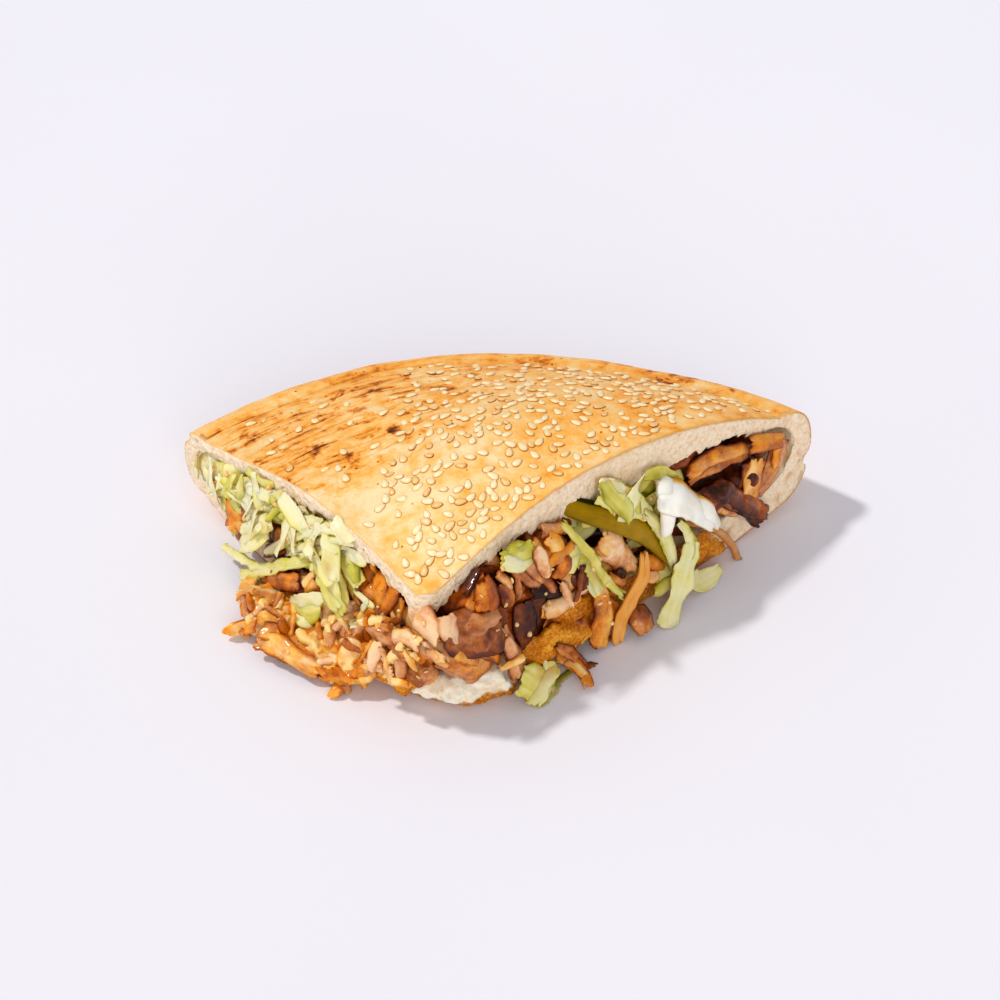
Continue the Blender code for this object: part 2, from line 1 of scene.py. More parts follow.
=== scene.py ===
"""The dressed doner kebab wedge: real crust, crumb, meat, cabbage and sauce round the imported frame.

Sizes are in millimetres, turned into metres by MM, in the part's own frame: +X along the wedge,
+Y from the tip to the round crust, +Z up.
"""

import math
import random

import bmesh
import bpy
import numpy as np
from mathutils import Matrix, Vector
from mathutils.bvhtree import BVHTree


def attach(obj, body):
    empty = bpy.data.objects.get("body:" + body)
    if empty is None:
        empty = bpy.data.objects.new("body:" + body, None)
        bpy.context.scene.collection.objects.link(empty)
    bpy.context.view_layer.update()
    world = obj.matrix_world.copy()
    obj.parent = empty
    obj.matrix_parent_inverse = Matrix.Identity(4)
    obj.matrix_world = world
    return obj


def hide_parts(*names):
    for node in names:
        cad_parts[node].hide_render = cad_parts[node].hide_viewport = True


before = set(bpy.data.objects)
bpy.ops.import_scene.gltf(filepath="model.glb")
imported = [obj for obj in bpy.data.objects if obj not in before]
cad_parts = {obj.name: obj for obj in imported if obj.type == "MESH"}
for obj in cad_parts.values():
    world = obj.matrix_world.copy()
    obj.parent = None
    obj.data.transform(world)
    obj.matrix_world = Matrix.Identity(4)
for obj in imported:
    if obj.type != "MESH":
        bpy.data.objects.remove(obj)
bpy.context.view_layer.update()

MM = 0.001
PER_MM = 1000.0

# The shape of the bread, as in the part's own source.
BOTTOM_TIP = np.array((-10.0, -69.0))
BOTTOM_RIGHT = np.array((115.0, 39.0))
BOTTOM_LEFT = np.array((-109.0, 42.0))
TOP_TIP = np.array((-19.0, -72.0))
TOP_RIGHT = np.array((115.0, 37.0))
TOP_LEFT = np.array((-107.0, 36.0))
ARC_SWELL_TOP = -0.012
ARC_SWELL_BOTTOM = -0.02
ARC_SKEW = 0.045
FIRST_REACH_BOTTOM = 0.07
FIRST_REACH_TOP = 0.03
RIM_REACH = 0.9
HINGE_REACH = 0.85
HINGE_END = 0.94
TIP_ROUNDING_BOTTOM = 6.5
TIP_ROUNDING_TOP = 2.5
BOTTOM_SWELL_RIGHT = 4.0
BOTTOM_SWELL_LEFT = 3.5
CORNER_LIFT = 8.0
TIP_HEIGHT = 47.5
RIM_HEIGHT_RIGHT = 35.0
RIM_HEIGHT_LEFT = 30.5
RIM_SAG = 2.5
DOME_RIGHT = 26.0
DOME_LEFT = 12.0
RIM_MIDDLE_RIGHT = 21.0
RIM_MIDDLE_LEFT = 17.0
CRUST_WAVE = 1.0
TOP_THICKNESS = 6.0
TOP_CRUMB_SWELL = 13.0
TOP_CRUMB_REACH = 0.47
TOP_CRUMB_SPREAD = 0.2
BOTTOM_THICKNESS_RIGHT = 15.5
BOTTOM_THICKNESS_LEFT = 11.0
CUT_TIP = np.array((-12.0, -70.0))
CUT_ENDS = {"right": np.array((113.0, 36.0)), "left": np.array((-106.0, 36.0))}
OUT = {"right": np.array((0.647, -0.763, 0.0)), "left": np.array((-0.748, -0.663, 0.0))}
# Notches in the rim at each cut: turn, place along the rim, how wide and how deep.
RIM_NOTCHES = ((0.0, 0.44, 0.05, 0.022), (1.0, 0.72, 0.06, 0.016))

# The camera, in millimetres. Its picture is 1000 pixels wide and high.
CAMERA_TARGET = np.array((4.6, 16.7, 15.0))
CAMERA_DISTANCE = 750.0
CAMERA_ELEVATION = math.radians(40)
CAMERA_LENS = 77.1
CAMERA_SENSOR = 36.0
PICTURE = 1000.0
FOCAL = PICTURE * CAMERA_LENS / CAMERA_SENSOR
VIEW_BACK = np.array((0.0, -math.cos(CAMERA_ELEVATION), math.sin(CAMERA_ELEVATION)))
VIEW_UP = np.array((0.0, math.sin(CAMERA_ELEVATION), math.cos(CAMERA_ELEVATION)))
EYE = CAMERA_TARGET + VIEW_BACK * CAMERA_DISTANCE

# How finely the bread is made here.
BOTTOM_CELLS = 56
RIM_CELLS = 26
TOP_CELLS = 140
TURN_CELLS = 176
RING_STEP = 0.5
RING_ACROSS = 20
RING_SAMPLES = 400
CAP_STATIONS = 40
# How far the torn tip of the lower bread stands out of the cut.
TIP_BULGE = 7.2

SEED_SIZE = (3.6, 2.1, 1.5)
SEED_SPACING = 6.0
SEED_NUMBER = 11
FIRST_SEEDS = 60
ALL_SEEDS = 400
TIP_SEEDS = 26
CLOSE_SPACING = 2.8
SEED_SIDES = 14
# The rings of a seed from its foot up, as spread, height and how brown. The brown at the foot is partly a
# toasted rim and partly painted shade where the seed meets the crust.
SEED_RINGS = (
    (1.12, -0.30, 0.85),
    (1.18, 0.02, 0.62),
    (1.02, 0.16, 0.22),
    (0.95, 0.42, 0.0),
    (0.72, 0.68, 0.0),
    (0.36, 0.80, 0.0),
)
SEED_TOAST = (0.0, 0.0, 0.0, 0.05, 0.1, 0.18, 0.34)

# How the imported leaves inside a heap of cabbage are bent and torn.
PACKED = dict(cup=0.6, step=0.7, ruffle=0.7, relief=0.4, fibres=0.03, twist=0.4, curl=0.3, taper=0.3,
              fray=0.15, lean_tone=0.15)
LUMP_SIDES = 10
LUMP_SEAR = (-1.3, -0.7, 0.0, 0.4, 1.2)
CREASE = 42

SCATTER_COLOUR = (1.0, 0.55, 0.3)
COAT_ROUGHNESS = 0.1
# Blender's noise mostly lies between these.
NOISE_LOW = 0.3
NOISE_HIGH = 0.7
CRUST_STOPS = (
    (0.0, (0.98, 0.76, 0.44)),
    (0.22, (1.0, 0.61, 0.22)),
    (0.42, (1.0, 0.465, 0.08)),
    (0.62, (0.78, 0.26, 0.03)),
    (0.82, (0.36, 0.085, 0.009)),
    (1.0, (0.09, 0.022, 0.005)),
)
INNER_CRUST_STOPS = ((0.3, (0.84, 0.62, 0.38)), (0.62, (0.97, 0.83, 0.60)))
INNER_BROWN = (0.74, 0.40, 0.08)
CRUMB_STOPS = ((0.25, (0.74, 0.50, 0.32)), (0.42, (0.92, 0.72, 0.51)), (0.62, (0.98, 0.84, 0.65)))
# Painted light: the torn tip of the lower bread is painted this whiter crumb, as though lit from the front.
WHITE_STOPS = ((0.3, (0.95, 0.72, 0.44)), (0.44, (1.0, 0.90, 0.68)), (0.58, (1.0, 0.97, 0.86)))
OILED_STOPS = ((0.3, (0.28, 0.075, 0.004)), (0.5, (0.60, 0.21, 0.012)), (0.7, (0.86, 0.46, 0.08)))
SOAKED_STOPS = ((0.28, (0.34, 0.09, 0.002)), (0.5, (0.66, 0.23, 0.003)), (0.72, (0.92, 0.50, 0.06)))
# Painted shade in the pores of the crumb.
PORE_BROWN = (0.60, 0.40, 0.24)
DARK_SPECK = (0.10, 0.04, 0.015)
CRUST_EDGE = (0.80, 0.42, 0.12)
# Meat without and with the orange sauce, from pale to charred.
PLAIN_MEAT_STOPS = (
    (0.0, (0.93, 0.63, 0.39)),
    (0.2, (0.76, 0.37, 0.17)),
    (0.42, (0.44, 0.145, 0.045)),
    (0.62, (0.18, 0.038, 0.009)),
    (0.82, (0.075, 0.012, 0.003)),
    (1.0, (0.02, 0.003, 0.001)),
)
SAUCED_MEAT_STOPS = (
    (0.0, (0.97, 0.70, 0.30)),
    (0.2, (0.93, 0.50, 0.09)),
    (0.42, (0.80, 0.28, 0.014)),
    (0.62, (0.46, 0.105, 0.003)),
    (0.82, (0.20, 0.038, 0.002)),
    (1.0, (0.035, 0.007, 0.001)),
)
MEAT_SPECK = (0.07, 0.02, 0.008)
CABBAGE_STOPS = (
    (0.0, (0.98, 0.86, 0.53)),
    (0.3, (0.88, 0.76, 0.32)),
    (0.55, (0.70, 0.61, 0.12)),
    (0.8, (0.47, 0.43, 0.03)),
    (1.0, (0.25, 0.24, 0.008)),
)
CABBAGE_OIL = (0.78, 0.46, 0.06)
SEED_STOPS = (
    (0.0, (0.98, 0.82, 0.53)),
    (0.3, (0.92, 0.62, 0.26)),
    (0.7, (0.62, 0.22, 0.02)),
    (1.0, (0.34, 0.10, 0.008)),
)
PICKLE_STOPS = ((0.0, (0.42, 0.25, 0.001)), (0.5, (0.24, 0.15, 0.001)), (1.0, (0.018, 0.028, 0.001)))
ONION_STOPS = ((0.0, (0.74, 0.40, 0.14)), (0.5, (0.50, 0.20, 0.04)), (1.0, (0.22, 0.06, 0.01)))
ORANGE_STOPS = ((0.0, (0.86, 0.46, 0.14)), (0.5, (0.80, 0.34, 0.04)), (1.0, (0.42, 0.13, 0.01)))
SAUCE_STOPS = (
    (0.0, (1.0, 0.97, 0.88)),
    (0.45, (0.98, 0.84, 0.60)),
    (0.8, (0.95, 0.58, 0.12)),
    (1.0, (0.82, 0.36, 0.02)),
)
FLOOR_STOPS = ((0.3, (0.845, 0.84, 0.915)), (0.7, (0.865, 0.86, 0.93)))

# Single pieces, as cut side, bends as (along, up, out), width, thickness and cup.
PICKLE = ("right", ((48, 58, -6), (58, 52, 1), (71, 43, 5), (84, 29, 5), (95, 12, 6)), 9.0, 2.6, 0.6)
ONION_STRAND = ("right", ((97, 29, 6), (106, 24, 8), (115, 15, 9), (121, 5, 9), (123, -3, 9), (123, -10, 10)),
                3.0, 2.2, 0.0)
ORANGE_STRIP = ("right", ((77, 29, 8), (75, 20, 10), (68, 10, 10), (63, 4, 12), (63, -2, 13)), 5.2, 1.8, 0.4)
# Shreds and leaves of each node, as cut side, bends, width, thickness, cup and tone.
CABBAGE = {
    "long_shred": (("right", ((42, 60, 6), (50, 46, 9), (58, 30, 10), (67, 16, 10)), 3.6, 1.4, 0.0, 0.5),),
    "hanging_shred": (("right", ((98, 22, 9), (94, 14, 12), (88, 7, 15), (79, 0, 19)), 9.5, 1.2, 0.5, 0.22),),
    "cabbage_right": (
        ("right", ((61, 59, 2), (71, 50, 3), (82, 37, 1), (90, 22, 0)), 11.0, 1.5, 1.0, 0.35),
        ("right", ((98, 27, 7), (101, 17, 9), (95, 9, 10), (90, 18, 7)), 4.5, 1.3, 0.0, 0.5),
        ("right", ((68, 57, -2), (84, 50, -2), (96, 47, -1)), 9.0, 1.6, 1.0, 0.6),
        ("right", ((78, 20, 3), (88, 12, 6), (93, 8, 9)), 7.0, 1.3, 0.6, 0.45),
    ),
    "cabbage_middle": (
        ("right", ((47, 46, 5), (53, 35, 6), (59, 20, 8)), 6.5, 1.4, 0.8, 0.4),
        ("right", ((46, 40, 5), (53, 38, 6), (61, 35, 5)), 6.0, 1.3, 0.8, 0.5),
    ),
    "cabbage_tip": (("right", ((19, 55, 3), (26, 53, 4), (33, 53, 3)), 7.0, 1.4, 0.8, 0.55),),
    "cabbage_low": (
        ("right", ((20, 10, 12), (26, 3, 15), (30, -8, 18)), 12.0, 1.4, 1.0, 0.4),
        ("right", ((34, 8, 11), (30, 2, 14), (27, -2, 16)), 6.0, 1.3, 0.6, 0.3),
        ("right", ((44, -2, 13), (36, -3, 14), (28, 0, 15)), 4.0, 1.4, 0.0, 0.7),
    ),
    "cabbage_left": (
        ("left", ((112, 25, 3), (99, 33, 4), (88, 38, 4)), 6.0, 1.3, 0.5, 0.3),
        ("left", ((77, 45, 5), (90, 32, 6), (101, 18, 6)), 4.0, 1.3, 0.0, 0.35),
        ("left", ((84, 34, 2), (74, 40, 3), (63, 42, 3)), 9.0, 1.4, 1.0, 0.7),
        ("left", ((77, 25, 5), (63, 36, 6), (47, 41, 5)), 12.0, 1.4, 1.2, 0.12),
        ("left", ((56, 45, 3), (49, 45, 4), (43, 43, 5)), 6.0, 1.3, 0.8, 0.45),
        ("left", ((52, 40, 10), (45, 33, 13), (35, 25, 14)), 8.5, 1.3, 0.8, 0.5),
        ("left", ((47, 42, 6), (39, 39, 8), (33, 36, 8)), 6.0, 1.3, 0.5, 0.4),
        ("left", ((98, 16, 5), (93, 24, 6), (84, 26, 7)), 5.0, 1.3, 0.5, 0.4),
    ),
    "cabbage_corner": (
        ("left", ((119, 29, 2), (114, 24, 3), (107, 18, 5)), 8.0, 1.4, 0.8, 0.45),
        ("left", ((117, 22, 3), (110, 17, 6), (103, 12, 8)), 5.0, 1.4, 0.0, 0.5),
    ),
    "drooping_shred": (("left", ((57, 31, 9), (70, 22, 12), (82, 12, 14), (93, 4, 15)), 4.6, 1.3, 0.0, 0.4),),
    "leaf_spill": (("left", ((66, 14, 10), (57, 16, 12), (48, 14, 14)), 9.0, 1.4, 1.0, 0.55),),
}
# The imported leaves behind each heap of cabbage, as cut side, place and size.
CABBAGE_CORES = {
    "cabbage_right": (("right", (76, 44, -2), (40, 9, 13)),),
    "cabbage_left": (("left", (92, 27, 2), (34, 9, 13)), ("left", (64, 36, 2), (54, 9, 13))),
    "cabbage_corner": (("left", (112, 22, 1), (16, 7, 10)),),
}
# Slices of meat, as cut side, bends, width, thickness, cup and tone.
MEAT_SLICES = (
    ("right", ((103, 42, 1), (119, 41, 1), (133, 38, 0)), 6.5, 3.0, 0.0, 0.42),
    ("right", ((147, 37, 2), (143, 27, 3), (136, 18, 3)), 8.0, 3.0, 1.0, 0.28),
    ("right", ((114, 30, 3), (127, 21, 5), (139, 10, 6)), 7.0, 3.0, 1.0, 0.68),
    ("right", ((110, 30, -2), (124, 30, -3), (138, 24, -3)), 10.0, 4.0, 1.0, 0.85),
    ("right", ((60, 42, 4), (67, 33, 5), (75, 22, 6)), 8.0, 2.6, 1.0, 0.12),
    ("right", ((34, 54, 2), (37, 45, 4), (39, 37, 4)), 5.0, 2.6, 0.0, 0.12),
    ("right", ((24, 50, 2), (30, 43, 4), (36, 36, 4)), 6.0, 2.6, 0.0, 0.3),
    ("right", ((40, 34, 0), (34, 26, 2), (32, 12, 4)), 9.0, 4.0, 1.0, 0.84),
    ("right", ((36, 24, 3), (43, 22, 4), (52, 22, 4)), 8.0, 2.4, 1.0, 0.08),
    ("right", ((17, 30, 6), (21, 17, 8), (25, 5, 10)), 5.0, 2.6, 0.0, 0.25),
    ("right", ((58, 22, 7), (58, 12, 9), (54, 2, 11)), 9.0, 2.4, 1.0, 0.35),
    ("right", ((36, 13, 11), (43, 5, 13), (49, -8, 16)), 5.0, 3.0, 0.0, 0.5),
    ("right", ((-6, 41, 5), (4, 34, 7), (16, 29, 6)), 17.0, 3.0, 2.0, 0.45),
    ("left", ((18, 32, 2), (8, 34, 4), (-2, 37, 3)), 9.0, 3.0, 1.0, 0.2),
    ("left", ((19, 23, 7), (9, 29, 8), (1, 25, 8)), 7.0, 2.6, 1.0, 0.35),
    ("left", ((110, 20, 0), (106, 14, 4), (101, 9, 6)), 9.0, 3.0, 1.0, 0.5),
    ("left", ((38, 37, 3), (30, 33, 5), (24, 26, 6)), 11.0, 4.0, 1.0, 0.6),
    ("left", ((84, 9, 11), (70, 14, 11), (56, 20, 9)), 7.0, 3.0, 1.0, 0.5),
    ("left", ((60, 6, 28), (48, 7, 27), (36, 6, 24)), 8.0, 5.0, 1.0, 0.16),
    ("left", ((33, 9, 12), (31, 6, 17), (28, 3, 22)), 5.0, 2.6, 0.0, 0.52),
)
# Lumps of meat, as cut side, place, size and tone: the front of the filling, then the spill.
MEAT_LUMPS = (
    ("right", (10, 42, 0), (17, 12, 14), 0.55),
    ("right", (24, 36, -1), (12, 9, 10), 0.66),
    ("right", (2, 24, 2), (20, 14, 16), 0.5),
    ("right", (42, 46, 0), (15, 9, 13), 0.5),
    ("right", (52, 27, 0), (16, 12, 15), 0.6),
    ("right", (68, 24, 2), (16, 10, 12), 0.35),
    ("right", (47, 12, 3), (16, 10, 10), 0.5),
    ("right", (112, 26, 0), (22, 10, 16), 0.8),
    ("right", (130, 28, -3), (20, 12, 16), 0.7),
    ("left", (52, 26, 2), (20, 14, 18), 0.45),
    ("left", (30, 26, 3), (18, 14, 16), 0.5),
    ("left", (12, 24, 5), (18, 14, 14), 0.4),
    ("left", (9, 15, 5), (12, 9, 10), 0.22),
    ("left", (21, 14, 9), (13, 10, 11), 0.35),
    ("left", (33, 14, 9), (13, 11, 12), 0.25),
    ("left", (47, 11, 10), (13, 10, 10), 0.5),
    ("left", (31, 8, 15), (13, 10, 10), 0.45),
    ("left", (58, 9, 14), (15, 12, 12), 0.42),
    ("left", (70, 8, 13), (16, 12, 11), 0.5),
    ("left", (75, 7, 21), (14, 10, 10), 0.45),
    ("left", (42, 7, 18), (19, 12, 11), 0.4),
    ("left", (64, 6, 22), (13, 10, 9), 0.35),
    ("left", (82, 5, 17), (10, 8, 8), 0.5),
)
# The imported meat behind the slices, as cut side, place and size.
MEAT_CORES = (
    ("left", (52, 6, 16), (62, 24, 9)),
    ("left", (30, 9, 9), (26, 16, 14)),
    ("left", (30, 21, 2), (64, 14, 20)),
    ("left", (66, 14, 5), (50, 12, 16)),
    ("right", (32, 22, 0), (60, 12, 22)),
)
CORE_SHARE = 0.84
RIGHT_DARKER = 0.06
WALL_LUMPS = 46
# Dark tones for the lumps just inside the cuts: painted shade.
WALL_TONES = (0.62, 0.72, 0.8, 0.88)
YAW = {"right": 0.7, "left": -0.84, "flat": -0.3}
# Thin torn meat as the photograph shows it: cut side, places (across, down, depth), width, tone and sauce.
SEEN_MEAT = (
    ("right", ((446, 615, 5), (449, 629, 7), (459, 650, 8)), 8.0, 0.02, -0.2),
    ("right", ((460, 630, 6), (479, 624, 8), (500, 616, 6)), 7.5, 0.26, 0.0),
    ("right", ((463, 646, 8), (481, 639, 10), (500, 629, 8)), 9.0, 0.42, 0.2),
    ("right", ((449, 649, 9), (462, 655, 10), (477, 660, 10)), 5.0, 0.30, 0.8),
    ("right", ((478, 649, 8), (488, 654, 9), (499, 660, 9)), 4.0, 0.40, 0.9),
    ("right", ((479, 580, 3), (486, 596, 5), (484, 611, 6)), 8.5, 0.45, 1.1),
    ("right", ((500, 582, 2), (507, 594, 4), (509, 606, 5)), 5.5, 0.50, 0.3),
    ("right", ((497, 572, 2), (505, 580, 3), (511, 589, 4)), 3.5, 0.22, 0.1),
    ("right", ((516, 575, 3), (517, 587, 4), (516, 598, 4)), 3.0, 0.32, 0.1),
    ("right", ((522, 601, 2), (525, 620, 4), (527, 646, 5)), 9.0, 0.66, 0.15),
    ("right", ((530, 593, 2), (545, 586, 3), (561, 588, 3)), 8.0, 0.80, 0.2),
    ("right", ((540, 573, 3), (549, 581, 5), (556, 591, 5)), 4.0, 0.46, 0.2),
    ("right", ((544, 614, 5), (556, 608, 6), (570, 600, 6)), 7.0, 0.0, 0.05),
    ("right", ((562, 618, 4), (556, 629, 5), (547, 637, 5)), 5.0, 0.30, 0.3),
    ("right", ((535, 548, 4), (541, 561, 6), (545, 576, 7)), 4.5, 0.03, 0.05),
    ("right", ((547, 536, 3), (556, 542, 4), (561, 553, 5)), 6.0, 0.16, 1.1),
    ("right", ((540, 531, 1), (552, 531, 2), (563, 528, 2)), 5.0, 0.20, 0.2),
    ("right", ((562, 555, 5), (563, 566, 6), (557, 579, 6)), 5.5, 0.46, 0.8),
    ("right", ((526, 565, 4), (533, 572, 5), (541, 579, 5)), 4.0, 0.14, 0.1),
    ("right", ((563, 574, 4), (568, 583, 5), (562, 593, 5)), 4.5, 0.20, 0.6),
    ("right", ((601, 537, 4), (613, 548, 6), (626, 563, 6)), 10.0, 0.10, 0.1),
    ("right", ((575, 590, 3), (588, 593, 4), (602, 600, 5)), 5.0, 0.46, 0.5),
    ("right", ((612, 600, 5), (602, 618, 7), (589, 641, 9)), 10.0, 0.30, 0.5),
    ("right", ((594, 640, 9), (600, 650, 10), (613, 655, 10)), 4.0, 0.34, 0.8),
    ("right", ((639, 572, 6), (649, 577, 7), (658, 575, 7)), 5.0, 0.08, 0.4),
    ("right", ((640, 559, 4), (652, 562, 5), (663, 566, 5)), 5.0, 0.36, 1.1),
    ("flat", ((634, 606, 9), (640, 619, 7), (647, 632, 3)), 8.0, 0.40, 0.2),
    ("right", ((505, 638, 8), (511, 656, 10), (516, 678, 11)), 5.0, 0.12, 0.0),
    ("flat", ((556, 655, 6), (566, 660, 5), (580, 671, 3), (590, 688, 1.5)), 5.0, 0.36, 0.9),
    ("flat", ((565, 661, 5), (575, 667, 4), (585, 677, 3)), 4.0, 0.22, 0.5),
    ("right", ((688, 478, 2), (706, 461, 2), (728, 452, 2), (752, 447, 1)), 5.5, 0.32, 0.6),
    ("right", ((750, 444, 3), (768, 443, 4), (783, 440, 4)), 7.0, 0.30, 0.8),
    ("right", ((780, 440, 4), (777, 454, 5), (774, 467, 5)), 4.0, 0.28, 1.1),
    ("right", ((750, 504, 5), (752, 480, 4), (758, 457, 3)), 8.0, 0.20, 0.7),
    ("right", ((741, 500, 4), (743, 481, 3), (747, 462, 3)), 5.0, 0.36, 0.5),
    ("right", ((721, 490, 4), (740, 502, 6), (762, 519, 7)), 8.0, 0.60, 0.1),
    ("right", ((713, 498, 4), (724, 507, 5), (739, 511, 5)), 6.0, 0.30, 0.15),
    ("left", ((231, 496, 4), (235, 512, 6), (232, 529, 8)), 8.5, 0.38, 1.0),
    ("left", ((243, 502, 4), (247, 511, 5), (243, 521, 6)), 5.0, 0.60, 0.8),
    ("left", ((236, 522, 7), (245, 532, 8), (252, 544, 9)), 4.5, 0.32, 1.0),
    ("left", ((272, 513, 2), (276, 526, 3), (274, 539, 4)), 6.0, 0.66, 0.6),
    ("left", ((283, 528, 4), (280, 542, 6), (276, 555, 7)), 7.0, 0.28, 0.4),
    ("left", ((265, 553, 7), (276, 549, 7), (289, 546, 6)), 5.0, 0.62, 0.7),
    ("left", ((262, 573, 12), (280, 580, 13), (301, 582, 12)), 6.5, 0.48, 0.6),
    ("left", ((298, 578, 9), (308, 582, 10), (319, 579, 9)), 6.0, 0.20, 0.15),
    ("left", ((366, 569, 3), (362, 587, 6), (357, 604, 8)), 6.5, 0.42, 0.9),
    ("left", ((382, 571, 2), (378, 591, 6), (372, 618, 9)), 7.0, 0.46, 0.9),
    ("left", ((397, 587, 3), (388, 602, 6), (377, 615, 8)), 6.0, 0.50, 0.8),
    ("left", ((404, 597, 3), (399, 613, 5), (395, 629, 7)), 4.5, 0.36, 0.8),
    ("left", ((412, 606, 5), (425, 621, 7), (441, 635, 7)), 10.0, 0.05, 0.0),
    ("left", ((391, 637, 12), (405, 638, 13), (421, 646, 12)), 5.5, 0.08, 0.3),
    ("left", ((396, 654, 12), (401, 667, 13), (402, 682, 13)), 5.5, 0.12, 0.1),
    ("flat", ((257, 639, 6), (285, 650, 6), (319, 669, 4)), 8.0, 0.20, 0.6),
    ("flat", ((262, 631, 8), (290, 640, 8), (314, 656, 6)), 6.5, 0.32, 0.6),
    ("flat", ((298, 652, 5), (312, 661, 4), (323, 671, 3)), 4.0, 0.34, 0.7),
    ("flat", ((298, 612, 12), (306, 626, 11), (316, 640, 9)), 6.0, 0.40, 1.0),
    ("flat", ((246, 622, 6), (258, 618, 8), (272, 620, 9)), 6.0, 0.10, 0.9),
)
# Chopped lumps as the photograph shows them: cut side, place, size, turn, tone and sauce.
SEEN_LUMPS = (
    ("flat", (265, 597, 9), (14, 9, 8), -0.2, 0.24, 0.4),
    ("flat", (250, 606, 7), (8, 7, 7), 0.3, 0.36, 1.0),
    ("flat", (286, 608, 9), (13, 7, 6), -0.4, 0.20, 0.5),
    ("flat", (330, 649, 6), (19, 11, 11), -0.45, 0.32, 0.9),
    ("flat", (240, 628, 4), (11, 4, 5), 0.4, 0.30, 0.9),
    ("flat", (263, 628, 6), (8, 6, 5), -0.3, 0.04, 0.5),
    ("flat", (287, 625, 10), (9, 7, 6), 0.6, 0.30, 1.0),
    ("flat", (310, 634, 9), (9, 6, 6), 1.1, 0.42, 0.9),
    ("flat", (345, 625, 13), (8, 6, 6), 0.2, 0.10, 0.4),
    ("flat", (357, 634, 13), (9, 7, 7), -0.6, 0.06, 0.4),
    ("flat", (369, 628, 14), (8, 6, 6), 0.9, 0.14, 0.3),
    ("flat", (352, 613, 16), (7, 5, 5), -0.2, 0.20, 0.3),
    ("flat", (337, 621, 13), (8, 5, 5), 0.5, 0.36, 0.3),
    ("left", (385, 631, 12), (13, 7, 8), -0.5, 0.38, 0.2),
    ("left", (377, 655, 14), (13, 8, 7), -0.8, 0.42, 1.0),
    ("left", (391, 668, 12), (9, 7, 6), 0.2, 0.30, 0.9),
    ("left", (432, 650, 7), (12, 8, 7), -0.5, 0.20, 0.2),
    ("left", (409, 652, 11), (9, 7, 6), 0.4, 0.06, 0.1),
    ("flat", (356, 668, 4), (5, 4, 8), 1.2, 0.36, 1.0),
    ("flat", (343, 688, 2), (10, 4, 4), 0.7, 0.36, 1.0),
    ("flat", (334, 673, 3), (9, 7, 5), 0.2, 0.40, 0.9),
    ("right", (485, 652, 7), (8, 5, 5), 0.5, 0.34, 1.0),
    ("right", (548, 620, 3), (9, 6, 6), 0.9, 0.30, 0.3),
)
